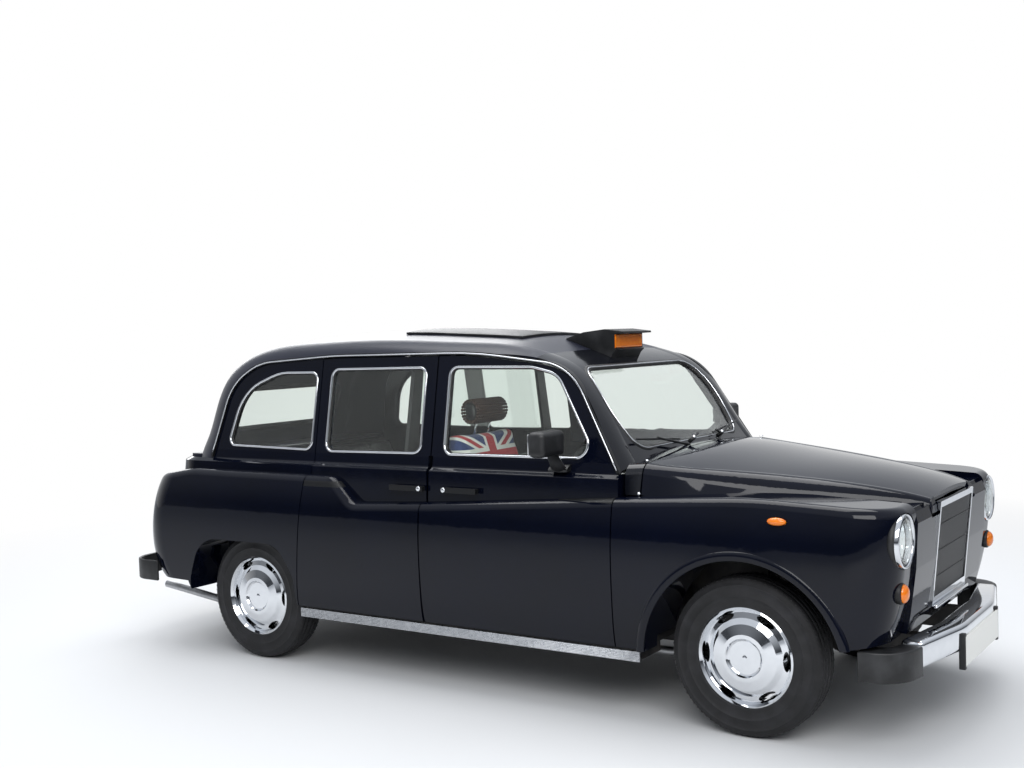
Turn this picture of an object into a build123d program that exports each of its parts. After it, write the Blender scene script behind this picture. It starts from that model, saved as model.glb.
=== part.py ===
from build123d import *
import os
from collections import namedtuple
from math import cos, pi, radians, sin

os.makedirs("parts", exist_ok=True)

# A four-door taxi cab with separate wings, in millimetres.
# X points forward, Y to the left, Z up; the origin is on the ground, midway along and across.

# Running gear
wheelbase = 2810.0
front_axle_x = 1525.0
rear_axle_x = front_axle_x - wheelbase
track = 1422.0
tyre_radius = 338.0
kingpin_y = 580.0

# Body side, left half: half widths (y) and heights (z)
sill_top_z = 330.0
flank_inner_y = 742.0
wing_inner_y = 560.0
band_y, band_inner_y = 788.0, 705.0
belt_y, belt_z = 776.0, 1056.0
belt_inset = 24.0
waist_y, waist_z = 745.0, 1120.0
gutter_y, gutter_z = 650.0, 1625.0
frame_depth = 40.0
crown_fillet = 45.0

# Shut lines along X and the gaps at moving panels
front_door_front_x = 945.0
centre_shut_x = -112.0
shut_gap = 6.0
shut_taper = 22.0

# Cabin
floor_z = 372.0
floor_depth = 30.0
bulkhead_x = 1075.0
bulkhead_depth = 14.0
glass_depth = 5.0
glass_inset = 10.0
shell_depth = 32.0

# Front end
arch_radius = 437.0
nose_x = 2195.0
grille_half_width = 270.0
grille_low_z, grille_high_z = 507.0, 955.0
headlamp_y, headlamp_z, headlamp_radius = 680.0, 850.0, 110.0

side_lean = (waist_y - gutter_y) / (gutter_z - waist_z)


def frame_y(z):
    """Outer half width of the cabin side at a height above the waist."""
    return waist_y - (z - waist_z) * side_lean


def save(piece, name):
    """Label a finished piece and write it."""
    piece.label = name
    export_step(piece, f"parts/{name}.step")


def side_outline(points, radius):
    """A closed outline seen from the side, points as (x, z), corners rounded."""
    with BuildSketch(Plane.XZ) as outline:
        with BuildLine():
            FilletPolyline(points, radius=radius, close=True)
        make_face()
    return outline.sketch


def across(outline, low_y, high_y):
    """A side outline carried across the car from one half width to another."""
    with BuildPart() as prism:
        extrude(outline.moved(Location((0, low_y, 0))), amount=high_y - low_y, dir=(0, 1, 0))
    return prism.part


def block(low, high):
    """A plain box between two corners."""
    with BuildPart() as solid:
        with Locations([(Vector(*low) + Vector(*high)) * 0.5]):
            Box(*(b - a for a, b in zip(low, high)))
    return solid.part


# The lower side is one surface from tail to nose: a stack of plan outlines.
FlankRow = namedtuple("FlankRow", "z half_width tail_x nose_x")
flank_rows = (
    FlankRow(270, 812, -1950, 2055),
    FlankRow(345, 845, -2040, 2070),
    FlankRow(520, 864, -2142, 2122),
    FlankRow(720, 868, -2148, 2158),
    FlankRow(905, 851, -2104, 2172),
    FlankRow(1060, 812, -1985, 2156),
)
tail_corner, nose_corner = 210.0, 190.0
crown_points = (
    (-2330, 800),
    (-2010, 972),
    (-1730, 1018),
    (-690, 1012),
    (-545, 886),
    (-45, 911),
    (966, 979),
    (1560, 1010),
    (2330, 974),
)
crown_radii = (260, 500, 90, 75, 2500, 2500, 2500)

with BuildPart() as flank:
    for row in flank_rows:
        with BuildSketch(Plane.XY.offset(row.z)):
            with BuildLine():
                tail_turn, nose_turn = tail_corner, nose_corner
                bend = 1 - cos(pi / 4)
                side_start = (row.tail_x + tail_turn, row.half_width)
                side_end = (row.nose_x - nose_turn, row.half_width)
                tail_edge = (row.tail_x, row.half_width - tail_turn)
                nose_edge = (row.nose_x, row.half_width - nose_turn)
                Line((row.tail_x, wing_inner_y), tail_edge)
                ThreePointArc(
                    tail_edge,
                    (row.tail_x + tail_turn * bend, row.half_width - tail_turn * bend),
                    side_start,
                )
                Line(side_start, side_end)
                ThreePointArc(
                    side_end,
                    (row.nose_x - nose_turn * bend, row.half_width - nose_turn * bend),
                    nose_edge,
                )
                Line(nose_edge, (row.nose_x, wing_inner_y))
                Line((row.nose_x, wing_inner_y), (row.tail_x, wing_inner_y))
            make_face()
    loft()
    with BuildSketch(Plane.XZ.offset(-wing_inner_y + 100)):
        with BuildLine():
            FilletPolyline(crown_points, radius=crown_radii)
            Polyline(crown_points[-1], (2330, 1300), (-2330, 1300), crown_points[0])
        make_face()
    extrude(amount=-500, mode=Mode.SUBTRACT)
    crown_faces = flank.faces().filter_by(lambda f: f.normal_at().Z > 0.6)
    crown_edges = [e for f in crown_faces for e in f.edges()]
    outer_crown = [
        e
        for e in crown_edges
        if sum(1 for other in crown_edges if other == e) == 1 and e.center().Y > wing_inner_y + 1
    ]
    fillet(outer_crown, radius=crown_fillet)


# The drip rail's line seen from the side: every upper opening is set inside it.
gutter_points = (
    (-1638, 1050),
    (-1528, 1472),
    (-1340, 1590),
    (-800, 1622),
    (100, 1624),
    (655, 1556),
    (958, 1045),
)
gutter_radii = (270, 390, 3000, 2500, 300)
with BuildSketch(Plane.XZ) as gutter_area:
    with BuildLine():
        FilletPolyline(gutter_points, radius=gutter_radii)
        Line(gutter_points[-1], gutter_points[0])
    make_face()


def inside_gutter(inset):
    """The side opening under the drip rail, set in by a margin."""
    with BuildSketch(Plane.XZ) as area:
        add(gutter_area.sketch)
        offset(amount=-inset, kind=Kind.INTERSECTION)
    return area.sketch


# Roof, pillars and the cabin's back: one arched strip through sections square to the side view.
StrapRow = namedtuple("StrapRow", "x z aim drop corner fall")
strap_rows = (
    StrapRow(-1897, 1000, 172, 256, 230, 55),
    StrapRow(-1850, 1215, 166, 248, 225, 55),
    StrapRow(-1785, 1420, 157, 238, 220, 52),
    StrapRow(-1690, 1568, 140, 215, 205, 50),
    StrapRow(-1540, 1655, 122, 150, 180, 45),
    StrapRow(-1080, 1731, 95, 120, 155, 42),
    StrapRow(-500, 1738, 90, 114, 150, 42),
    StrapRow(0, 1710, 86, 86, 150, 36),
    StrapRow(250, 1682, 79, 68, 150, 26),
    StrapRow(470, 1618, 62, 26, 140, 10),
    StrapRow(640, 1540, 44, 10, 120, 4),
    StrapRow(775, 1402, 38.3, 14, 110, 5),
    StrapRow(955, 1170, 38.3, 62, 120, 30),
    StrapRow(990, 1126, 38.3, 74, 120, 36),
)
# Past this drop the strip's edge stands upright beside the drip rail
upright_drop = 110.0


def strap(inset, depth, rows=strap_rows):
    """The arched strip at an inset from its outer face, with a wall depth."""
    with BuildPart() as shell:
        for row in rows:
            out = Vector(cos(radians(row.aim)), 0, sin(radians(row.aim)))
            low = Vector(row.x, 0, row.z) - out * row.drop
            half = frame_y(low.Z)
            plane = Plane(
                origin=(row.x, 0, row.z), x_dir=(0, 1, 0), z_dir=(out.Z, 0, -out.X)
            )
            upright = min(1.0, row.drop / upright_drop)
            with BuildSketch(plane):
                with BuildLine():
                    rings = []
                    for skin in (inset, inset + depth):
                        edge = (half - skin * upright, -row.drop - skin * (1 - upright))
                        turn = (half - row.corner, -row.fall - skin)
                        middle = (
                            turn[0] + (edge[0] - turn[0]) * cos(pi / 4),
                            edge[1] + (turn[1] - edge[1]) * sin(pi / 4),
                        )
                        rings.append((edge, middle, turn))
                        ThreePointArc(edge, middle, turn)
                        ThreePointArc(turn, (0, -skin), (-turn[0], turn[1]))
                        ThreePointArc(
                            (-turn[0], turn[1]), (-middle[0], middle[1]), (-edge[0], edge[1])
                        )
                    for side in (1, -1):
                        outer, inner = rings[0][0], rings[1][0]
                        Line((side * outer[0], outer[1]), (side * inner[0], inner[1]))
                make_face()
        loft()
    return shell.part


# Openings in side view, (x, z)
quarter_window = (
    (-1518, 1146),
    (-900, 1134),
    (-900, 1537),
    (-1180, 1537),
    (-1440, 1440),
)
rear_door_window = ((-800, 1130), (-178, 1136), (-178, 1555), (-800, 1552))
front_door_window = (
    (-34, 1135),
    (818, 1139),
    (585, 1518),
    (440, 1552),
    (-34, 1556),
)
quarter_radii = (40, 45, 45, 330, 260)
rear_window_radii = (45, 45, 45, 45)
front_window_radii = (45, 62, 120, 200, 45)

# The rear door's shut line leans back towards the wheel arch
rear_shut = ((-938, sill_top_z), (-884, 890), (-871, 1040), (-871, 1700))

frame_section = (
    (band_y, 860),
    (belt_y, belt_z),
    (belt_y - belt_inset, belt_z + 16),
    (waist_y, waist_z),
    (frame_y(1680), 1680),
    (frame_y(1680) - frame_depth, 1680),
    (band_inner_y, waist_z),
    (band_inner_y, 860),
)
frame_radii = (0, 9, 14, 0, 0, 0, 0, 0)


def section_prism(points, radii, low_x, high_x):
    """A prism along X from a closed cross-section, points as (y, z)."""
    with BuildPart() as prism:
        with BuildSketch(Plane.YZ.offset(low_x)):
            with BuildLine():
                FilletPolyline(points, radius=radii, close=True)
            make_face()
        extrude(amount=high_x - low_x)
    return prism.part


def flat_face(points):
    """A closed polygon seen from the side, points as (x, z)."""
    with BuildSketch(Plane.XZ) as face:
        with BuildLine():
            Polyline(points, close=True)
        make_face()
    return face.sketch


def door_area(front_points, rear_points):
    """A door seen from the side: between its shut lines and inside the drip rail."""
    with BuildSketch(Plane.XZ) as area:
        add(inside_gutter(gutter_half + shut_gap))
        with BuildLine():
            Polyline((-2300, sill_top_z), (2300, sill_top_z), (2300, 1075), (-2300, 1075), close=True)
        make_face()
        add(flat_face(front_points + rear_points), mode=Mode.INTERSECT)
    return area.sketch


gutter_half = 8.0
front_line = ((front_door_front_x - shut_gap / 2, 1700), (front_door_front_x - shut_gap / 2, sill_top_z))
centre_front = ((centre_shut_x + shut_gap / 2, sill_top_z), (centre_shut_x + shut_gap / 2, 1700))
centre_rear = ((centre_shut_x - shut_gap / 2, 1700), (centre_shut_x - shut_gap / 2, sill_top_z))
rear_line = tuple((x + shut_gap / 2, z) for x, z in rear_shut)
DoorRow = namedtuple("DoorRow", "name area window radii free_x taper_side handle_x")
door_rows = (
    DoorRow(
        "front_door", door_area(front_line, centre_front), front_door_window,
        front_window_radii, centre_shut_x + shut_gap / 2, 1, 96.0,
    ),
    DoorRow(
        "rear_door", door_area(centre_rear, rear_line), rear_door_window,
        rear_window_radii, centre_shut_x - shut_gap / 2, -1, -222.0,
    ),
)
handle_length, handle_height, handle_z = 205.0, 26.0, 972.0


glass_section = (
    (waist_y - glass_inset, waist_z),
    (frame_y(1600) - glass_inset, 1600),
    (frame_y(1600) - glass_inset - glass_depth, 1600),
    (waist_y - glass_inset - glass_depth, waist_z),
)


def pull_handle(centre_x):
    """A pull bar standing off the door on two feet."""
    face_y = band_y - 8
    with BuildPart() as handle:
        with Locations((centre_x, face_y + 32, handle_z)):
            Box(handle_length, 14, handle_height)
        fillet(handle.edges().filter_by(Axis.Z), radius=5)
        for end in (-1, 1):
            with Locations((centre_x + end * (handle_length / 2 - 18), face_y + 12, handle_z)):
                Box(34, 34, handle_height - 4)
    return handle.part


def free_edge_wedge(free_x, way):
    """What a door's free edge loses inwards, so that it swings clear of the other door."""
    with BuildPart() as wedge:
        for low_z, high_z, outer, inner, cut in (
            (250, 862, 872, 700, shut_taper),
            (862, 1125, 800, 690, shut_taper),
        ):
            with BuildSketch(Plane.XY.offset(low_z)):
                with BuildLine():
                    Polyline(
                        (free_x - way * 30, outer),
                        (free_x, outer),
                        (free_x + way * cut, inner),
                        (free_x - way * 30, inner),
                        close=True,
                    )
                make_face()
            extrude(amount=high_z - low_z)
        for z in (1110, 1700):
            with BuildSketch(Plane.XY.offset(z)):
                with BuildLine():
                    Polyline(
                        (free_x - way * 30, frame_y(z) + 2),
                        (free_x, frame_y(z) + 2),
                        (free_x + way * 16, frame_y(z) - frame_depth - 2),
                        (free_x - way * 30, frame_y(z) - frame_depth - 2),
                        close=True,
                    )
                make_face()
        loft(ruled=True)
    return wedge.part


def mirrored(piece):
    """The same piece for the car's right side."""
    with BuildPart() as other:
        add(piece)
        mirror(about=Plane.XZ, mode=Mode.REPLACE)
    return other.part


def both_sides(piece, name):
    """Write a left-hand piece and its mirror image."""
    save(piece, name + "_left")
    save(mirrored(piece), name + "_right")


def pair(piece, name):
    """Write a left-hand piece with its mirror image as one node."""
    with BuildPart() as two:
        add(piece)
        mirror(about=Plane.XZ)
    save(two.part, name)


for row in door_rows:
    with BuildPart() as door:
        add(flank.part)
        add(block((-2300, flank_inner_y, 200), (2300, 900, 1200)), mode=Mode.INTERSECT)
        add(section_prism(frame_section, frame_radii, -1000, 1000))
        add(across(row.area, 500, 900), mode=Mode.INTERSECT)
        add(across(side_outline(row.window, row.radii), 500, 900), mode=Mode.SUBTRACT)
        add(free_edge_wedge(row.free_x, row.taper_side), mode=Mode.SUBTRACT)
        add(pull_handle(row.handle_x))
    both_sides(door.part, row.name)
    with BuildPart() as pane:
        add(section_prism(glass_section, 0, -1000, 1000))
        add(across(side_outline(row.window, row.radii), 500, 900), mode=Mode.INTERSECT)
    both_sides(pane.part, row.name + "_glass")


def axle_cylinder(x, z, radius, low_y, high_y):
    """A cylinder about a line across the car."""
    with BuildPart() as barrel:
        with BuildSketch(Plane.XZ.offset(-low_y)):
            with Locations((x, z)):
                Circle(radius)
        extrude(amount=-(high_y - low_y))
    return barrel.part


def plan_prism(curve, corners, low_z, high_z):
    """A plan outline, a smooth curve closed by straight lines, between two heights."""
    with BuildPart() as prism:
        with BuildSketch(Plane.XY.offset(low_z)):
            with BuildLine():
                Spline(*curve)
                Polyline(curve[-1], *corners, curve[0])
            make_face()
        extrude(amount=high_z - low_z)
    return prism.part


def rod(start, end, radius):
    """A round bar between two points."""
    way = Vector(*end) - Vector(*start)
    with BuildPart() as bar:
        with BuildSketch(Plane(origin=start, z_dir=way)):
            Circle(radius)
        extrude(amount=way.length)
    return bar.part


def rods(points, radius):
    """Round bars through a row of points, with a ball at each turn."""
    with BuildPart() as chain:
        for start, end in zip(points, points[1:]):
            add(rod(start, end, radius))
        for point in points[1:-1]:
            with Locations(point):
                Sphere(radius)
    return chain.part


# Bonnet: sections along the car with upright sides, rounded shoulders and a low crown
BonnetRow = namedtuple("BonnetRow", "x half_width edge_z shoulder_y shoulder_z corner top_z")
bonnet_rows = (
    BonnetRow(1035, 736, 986, 713, 1076, 74, 1158),
    BonnetRow(1300, 690, 984, 660, 1040, 90, 1138),
    BonnetRow(1600, 606, 980, 568, 1002, 108, 1098),
    BonnetRow(1900, 492, 950, 462, 978, 86, 1058),
    BonnetRow(2080, 402, 930, 382, 962, 56, 1016),
    BonnetRow(2165, 350, 905, 338, 950, 36, 988),
)
bonnet_depth = 25.0


def half_section(row, depth):
    """Corner points (y, z) up one side of a bonnet or scuttle section, set in by a wall depth."""
    shoulder = (row.shoulder_y - depth, row.shoulder_z - depth * 0.4)
    crown = (row.shoulder_y - row.corner - depth * 0.35, row.shoulder_z + row.corner * 0.6 - depth)
    middle = (
        crown[0] + (shoulder[0] - crown[0]) * cos(pi / 4),
        shoulder[1] + (crown[1] - shoulder[1]) * sin(pi / 4),
    )
    return (row.half_width - depth, row.edge_z), shoulder, middle, crown


def hood_section(row, depth):
    """A bonnet or scuttle section as a face standing across the car."""
    with BuildSketch(Plane.YZ.offset(row.x)) as section:
        with BuildLine():
            for skin in (0, depth):
                foot, shoulder, middle, crown = half_section(row, skin)
                for side in (1, -1):
                    Line((side * foot[0], foot[1]), (side * shoulder[0], shoulder[1]))
                    ThreePointArc(
                        (side * shoulder[0], shoulder[1]),
                        (side * middle[0], middle[1]),
                        (side * crown[0], crown[1]),
                    )
                ThreePointArc(crown, (0, row.top_z - skin), (-crown[0], crown[1]))
            for side in (1, -1):
                Line((side * row.half_width, row.edge_z), (side * (row.half_width - depth), row.edge_z))
        make_face()
    return section.sketch


# The bonnet's front edge turns down on each side of the grille
apron_face = ((2140, 916), (2181, 916), (2178, 945), (2168, 968), (2158, 1000), (2140, 1000))
apron_inner_y = grille_half_width + 8
with BuildPart() as bonnet:
    for row in bonnet_rows:
        add(hood_section(row, bonnet_depth))
    loft()
with BuildPart() as apron:
    with BuildSketch(Plane.YZ.offset(2140)):
        with BuildLine():
            foot, shoulder, middle, crown = half_section(bonnet_rows[-1], 1)
            Polyline((apron_inner_y, 916), (foot[0], 916), shoulder)
            ThreePointArc(shoulder, middle, crown)
            Polyline(crown, (apron_inner_y, crown[1] + 6), (apron_inner_y, 916))
        make_face()
    extrude(amount=50)
    add(across(flat_face(apron_face), apron_inner_y, 500), mode=Mode.INTERSECT)
with BuildPart() as bonnet_and_apron:
    add(bonnet.part)
    add(apron.part)
    add(mirrored(apron.part))
save(bonnet_and_apron.part, "bonnet")

bonnet_curve = [(row.x, row.half_width + shut_gap) for row in bonnet_rows]
# The wing stands further off at the hinge, where the bonnet's lower corner swings forward
swing_gap = 8.0
wing_curve = [(bonnet_rows[0].x, bonnet_curve[0][1] + swing_gap)] + bonnet_curve[1:]
bonnet_corners = [
    (bonnet_rows[-1].x, 0),
    (bonnet_rows[0].x - shut_gap, 0),
    (bonnet_rows[0].x - shut_gap, bonnet_curve[0][1]),
]
wing_corners = bonnet_corners[:2] + [(bonnet_corners[2][0], wing_curve[0][1])]
bay_curve = [(bulkhead_x, 690), (1500, 600), (1800, 495), (2090, 380)]
bay_corners = [(2090, 0), (bulkhead_x, 0)]

# Rear quarter: wing, belt band and window panel in one pressing
rear_arch = ((-1752, 200), (-1742, 400), (-1640, 640), (-1060, 644), (-952, 480), (-948, 200))
rear_arch_radii = (0, 180, 190, 150, 150, 0)
rear_underside = (
    (-1740, sill_top_z),
    (-1760, 392),
    (-1960, 396),
    (-2140, 520),
    (-2400, 800),
    (-2400, 1200),
    (-871 - shut_gap / 2, 1200),
    (-871 - shut_gap / 2, 1040),
    (-884 - shut_gap / 2, 890),
    (-938 - shut_gap / 2, sill_top_z),
)
door_side = (
    (-871 - shut_gap / 2, 1040),
    (-884 - shut_gap / 2, 890),
    (-938 - shut_gap / 2, sill_top_z),
    (-800, sill_top_z),
    (-800, 1040),
)
wheelhouse_radius, wheelhouse_outer_y = 370.0, 826.0
wheelhouse_front_x = -900.0
wheelhouse_roof_z = 760.0
band_tail_x, band_corner = -1950.0, 180.0
tail_wall_x = -2090.0
boot_side_y = 700.0


def band_ring(low_z, low_out, high_z, high_out):
    """The belt band round the car's tail between two heights."""
    with BuildPart() as ring:
        for z, out in ((low_z, low_out), (high_z, high_out)):
            tail_x = band_tail_x + (band_y - out)
            start = (tail_x + band_corner, out)
            end = (tail_x, out - band_corner)
            bend = band_corner * (1 - cos(pi / 4))
            with BuildSketch(Plane.XY.offset(z)):
                with BuildLine():
                    Line((-874, out), start)
                    ThreePointArc(start, (tail_x + bend, out - bend), end)
                    Polyline(end, (tail_x, wing_inner_y), (-1700, wing_inner_y), (-1700, band_inner_y))
                    Polyline((-1700, band_inner_y), (-874, band_inner_y), (-874, out))
                make_face()
        loft(ruled=True)
    return ring.part


with BuildSketch(Plane.XZ) as quarter_side:
    add(inside_gutter(gutter_half))
    add(flat_face(((-2300, 1040), (-874, 1040), (-874, 1700), (-2300, 1700))), mode=Mode.INTERSECT)

with BuildPart() as window_panel:
    add(section_prism(frame_section, frame_radii, -1800, -874))
    add(across(quarter_side.sketch, 500, 900), mode=Mode.INTERSECT)

wheelhouse = axle_cylinder(rear_axle_x, tyre_radius, wheelhouse_radius, 400, wheelhouse_outer_y)
under_axle = block(
    (rear_axle_x - wheelhouse_radius, 400, 100),
    (rear_axle_x + wheelhouse_radius, wheelhouse_outer_y, tyre_radius),
)
with BuildPart() as rear_quarter:
    add(flank.part)
    add(across(flat_face(rear_underside), 500, 900), mode=Mode.INTERSECT)
    add(wheelhouse, mode=Mode.SUBTRACT)
    add(under_axle, mode=Mode.SUBTRACT)
    add(block((-1705, 400, wheelhouse_roof_z), (-800, band_inner_y, 1100)), mode=Mode.SUBTRACT)
    add(block((wheelhouse_front_x, 400, 200), (-800, flank_inner_y, 800)), mode=Mode.SUBTRACT)
    add(block((tail_wall_x, 400, 560), (-1700, boot_side_y, 880)), mode=Mode.SUBTRACT)
    add(band_ring(900, band_y, belt_z, belt_y))
    add(band_ring(belt_z, belt_y, belt_z + 16, belt_y - belt_inset))
    add(window_panel.part)
    add(across(side_outline(rear_arch, rear_arch_radii), 500, 900), mode=Mode.SUBTRACT)
    add(across(side_outline(quarter_window, quarter_radii), 500, 900), mode=Mode.SUBTRACT)
    add(block((-2300, 550, 596), (-2126, 652, 804)), mode=Mode.SUBTRACT)
    add(across(flat_face(door_side), 500, 900), mode=Mode.SUBTRACT)
both_sides(rear_quarter.part, "rear_quarter")

# Front wing with its flared arch and lamp bores
arch_x, arch_z = 1533.0, 318.0
flare_width, flare_proud = 22.0, 13.0
indicator_y, indicator_z, indicator_radius = 700.0, 647.0, 42.0
repeater_x, repeater_z, repeater_length, repeater_height = 1704.0, 926.0, 84.0, 34.0
wing_side = (
    (front_door_front_x + shut_gap / 2, sill_top_z),
    (1500, sill_top_z),
    (1900, 425),
    (2400, 484),
    (2400, 1300),
    (front_door_front_x + shut_gap / 2, 1300),
)


def repeater(low_y, high_y, margin):
    """The oval side repeater between two half widths, grown by a margin."""
    with BuildPart() as lens:
        with BuildSketch(Plane.XZ.offset(-low_y)):
            with Locations((repeater_x, repeater_z)):
                Ellipse(repeater_length / 2 + margin, repeater_height / 2 + margin)
        extrude(amount=-(high_y - low_y))
    return lens.part


with BuildPart() as flare:
    with BuildSketch(Plane.XY):
        with Locations((arch_radius + flare_width - 4, 860)):
            Ellipse(flare_width, flare_proud)
    revolve(axis=Axis.Y)

with BuildPart() as front_wing:
    add(flank.part)
    add(flare.part.moved(Location((arch_x, 0, arch_z))))
    add(across(flat_face(wing_side), 500, 1000), mode=Mode.INTERSECT)
    add(axle_cylinder(arch_x, arch_z, arch_radius, 300, 1000), mode=Mode.SUBTRACT)
    add(
        block((arch_x - arch_radius, 300, 100), (arch_x + arch_radius, 1000, arch_z)),
        mode=Mode.SUBTRACT,
    )
    add(block((900, 300, 200), (1100, flank_inner_y, 957)), mode=Mode.SUBTRACT)
    add(block((900, 300, 950), (1029, flank_inner_y, 1100)), mode=Mode.SUBTRACT)
    add(plan_prism(wing_curve, wing_corners, 915, 1300), mode=Mode.SUBTRACT)
    add(plan_prism(bay_curve, bay_corners, 800, 1300), mode=Mode.SUBTRACT)
    for x, y, z, radius in (
        (2050, headlamp_y, headlamp_z, headlamp_radius + 2),
        (2142, indicator_y, indicator_z, indicator_radius + 1),
    ):
        add(rod((x, y, z), (2400, y, z), radius), mode=Mode.SUBTRACT)
    add(repeater(844, 900, 1), mode=Mode.SUBTRACT)
both_sides(front_wing.part, "front_wing")

# Body shell: roof, pillars, scuttle, centre posts, parcel shelf and tail panel
screen_lean = radians(38.3)
screen_plane = Plane(origin=(850, 0, 1345), x_dir=(0, 1, 0), z_dir=(cos(screen_lean), 0, sin(screen_lean)))
screen_points = ((-545, -200), (-615, 50), (-540, 290), (540, 290), (615, 50), (545, -200))
screen_radii = (110, 500, 110, 110, 500, 110)
rear_screen_half, rear_screen_low_z, rear_screen_high_z = 430.0, 1190.0, 1440.0


def screen_prism():
    """The windscreen's opening carried through the pillars' surface."""
    with BuildPart() as prism:
        with BuildSketch(screen_plane):
            with BuildLine():
                FilletPolyline(screen_points, radius=screen_radii, close=True)
            make_face()
        extrude(amount=160, both=True)
    return prism.part


def rear_screen_prism():
    """The rear window's opening carried through the cabin's back."""
    with BuildPart() as prism:
        with BuildSketch(Plane.YZ.offset(-2000)):
            with Locations((0, (rear_screen_low_z + rear_screen_high_z) / 2)):
                RectangleRounded(
                    2 * rear_screen_half, rear_screen_high_z - rear_screen_low_z, 70
                )
        extrude(amount=350)
    return prism.part


scuttle_rows = (
    BonnetRow(958, 741, 985, 736, 1072, 74, 1160),
    BonnetRow(1029, 741, 985, 714, 1076, 74, 1159),
)
scuttle_depth = 28.0
with BuildPart() as scuttle:
    for row in scuttle_rows:
        add(hood_section(row, scuttle_depth))
    loft(ruled=True)

post_section = (
    (695, floor_z),
    (695, waist_z),
    (frame_y(1650) - frame_depth - 6, 1650),
    (frame_y(1650) - frame_depth - 50, 1650),
    (651, waist_z),
    (651, floor_z),
)
with BuildSketch(Plane.XZ) as upper_side:
    add(inside_gutter(gutter_half))
    ahead_of_post = ((centre_shut_x + 60, 1040), (1000, 1040), (1000, 1700), (centre_shut_x + 60, 1700))
    add(flat_face(ahead_of_post), mode=Mode.INTERSECT)

with BuildPart() as body_shell:
    add(strap(0, shell_depth))
    add(block((-2200, -900, 800), (-1200, 900, belt_z + 16)), mode=Mode.SUBTRACT)
    add(screen_prism(), mode=Mode.SUBTRACT)
    add(rear_screen_prism(), mode=Mode.SUBTRACT)
    add(scuttle.part)
    post = section_prism(post_section, 0, centre_shut_x - 38, centre_shut_x + 38)
    add(post)
    add(mirrored(post))
    door_room = across(upper_side.sketch, 500, 900)
    add(door_room, mode=Mode.SUBTRACT)
    add(mirrored(door_room), mode=Mode.SUBTRACT)
    add(block((-1866, -690, belt_z + 16), (-1600, 690, belt_z + 30)))
    add(block((-1944, -wing_inner_y, 1034), (-1850, wing_inner_y, belt_z + 16)))
with BuildPart() as tail_panel:
    add(block((-2134, -wing_inner_y, 398), (-2104, wing_inner_y, 548)))
with BuildPart() as shell_and_tail:
    add(body_shell.part)
    add(tail_panel.part)
save(shell_and_tail.part, "body_shell")

# Glass that does not move with a door
with BuildPart() as windscreen:
    add(strap(glass_inset, glass_depth))
    add(screen_prism(), mode=Mode.INTERSECT)
with BuildPart() as rear_screen:
    add(strap(glass_inset, glass_depth))
    add(rear_screen_prism(), mode=Mode.INTERSECT)
with BuildPart() as quarter_glass:
    add(section_prism(glass_section, 0, -1700, -800))
    add(across(side_outline(quarter_window, quarter_radii), 500, 900), mode=Mode.INTERSECT)
with BuildPart() as fixed_glass:
    add(windscreen.part)
    add(rear_screen.part)
    add(quarter_glass.part)
    add(mirrored(quarter_glass.part))
save(fixed_glass.part, "fixed_glass")

# Boot lid, a curved panel between the rear wings
lid_half = wing_inner_y - 7
lid_points = ((-1951, 1027), (-2062, 982), (-2152, 860), (-2152, 554))
with BuildPart() as boot_lid:
    with BuildSketch(Plane.XZ.offset(-lid_half)):
        with BuildLine():
            FilletPolyline(
                lid_points + ((-2122, 554), (-2122, 848), (-2046, 952), (-1951, 992)),
                radius=(0, 110, 200, 0, 0, 170, 80, 0),
                close=True,
            )
        make_face()
    extrude(amount=2 * lid_half)
save(boot_lid.part, "boot_lid")

# Nose panel and grille
nose_face = ((2128, 455), (2142, 520), (2170, 720), (2180, 905), (2168, 950))
nose_depth = 36.0
cap_corners = [(2300, bonnet_curve[-1][1]), (2300, 0), (1000, 0), (1000, bonnet_curve[0][1])]
cap = plan_prism(bonnet_curve, cap_corners, bonnet_rows[-1].edge_z - shut_gap, 1300)
with BuildPart() as nose_panel:
    with BuildSketch(Plane.XZ.offset(-wing_inner_y)):
        with BuildLine():
            Polyline(
                nose_face + tuple((x - nose_depth, z) for x, z in reversed(nose_face)),
                close=True,
            )
        make_face()
    extrude(amount=2 * wing_inner_y)
    add(
        block((2000, -grille_half_width, grille_low_z), (2300, grille_half_width, 1000)),
        mode=Mode.SUBTRACT,
    )
    add(block((1690, 340, 925), (2150, wing_inner_y, 962)))
    add(block((1690, -wing_inner_y, 925), (2150, -340, 962)))
    add(cap, mode=Mode.SUBTRACT)
    add(mirrored(cap), mode=Mode.SUBTRACT)
save(nose_panel.part, "nose_panel")

grille_slope = 45.0 / (grille_high_z - grille_low_z)
grille_bars, grille_bar = 41, 6.0


def grille_bar_face(low_z, high_z, front, depth):
    """Side view of a grille member between two heights, standing in front of the slope."""
    low_x = nose_x - 45 + (low_z - grille_low_z) * grille_slope + front
    high_x = nose_x - 45 + (high_z - grille_low_z) * grille_slope + front
    return flat_face(((low_x, low_z), (high_x, high_z), (high_x - depth, high_z), (low_x - depth, low_z)))


with BuildPart() as grille:
    inner_half = grille_half_width - 16
    for low_z, high_z in ((grille_low_z + 1, grille_low_z + 40), (grille_high_z - 26, grille_high_z)):
        add(across(grille_bar_face(low_z, high_z, 0, 22), -inner_half, inner_half))
    for side in (-1, 1):
        edge = sorted((side * inner_half, side * (grille_half_width - 1)))
        add(across(grille_bar_face(grille_low_z + 1, grille_high_z, 0, 22), *edge))
    bar_face = grille_bar_face(grille_low_z + 40, grille_high_z - 26, -6, 12)
    for place in range(grille_bars):
        y = (place - (grille_bars - 1) / 2) * 2 * inner_half / (grille_bars + 1)
        add(across(bar_face, y - grille_bar / 2, y + grille_bar / 2))
save(grille.part, "grille")

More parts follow.
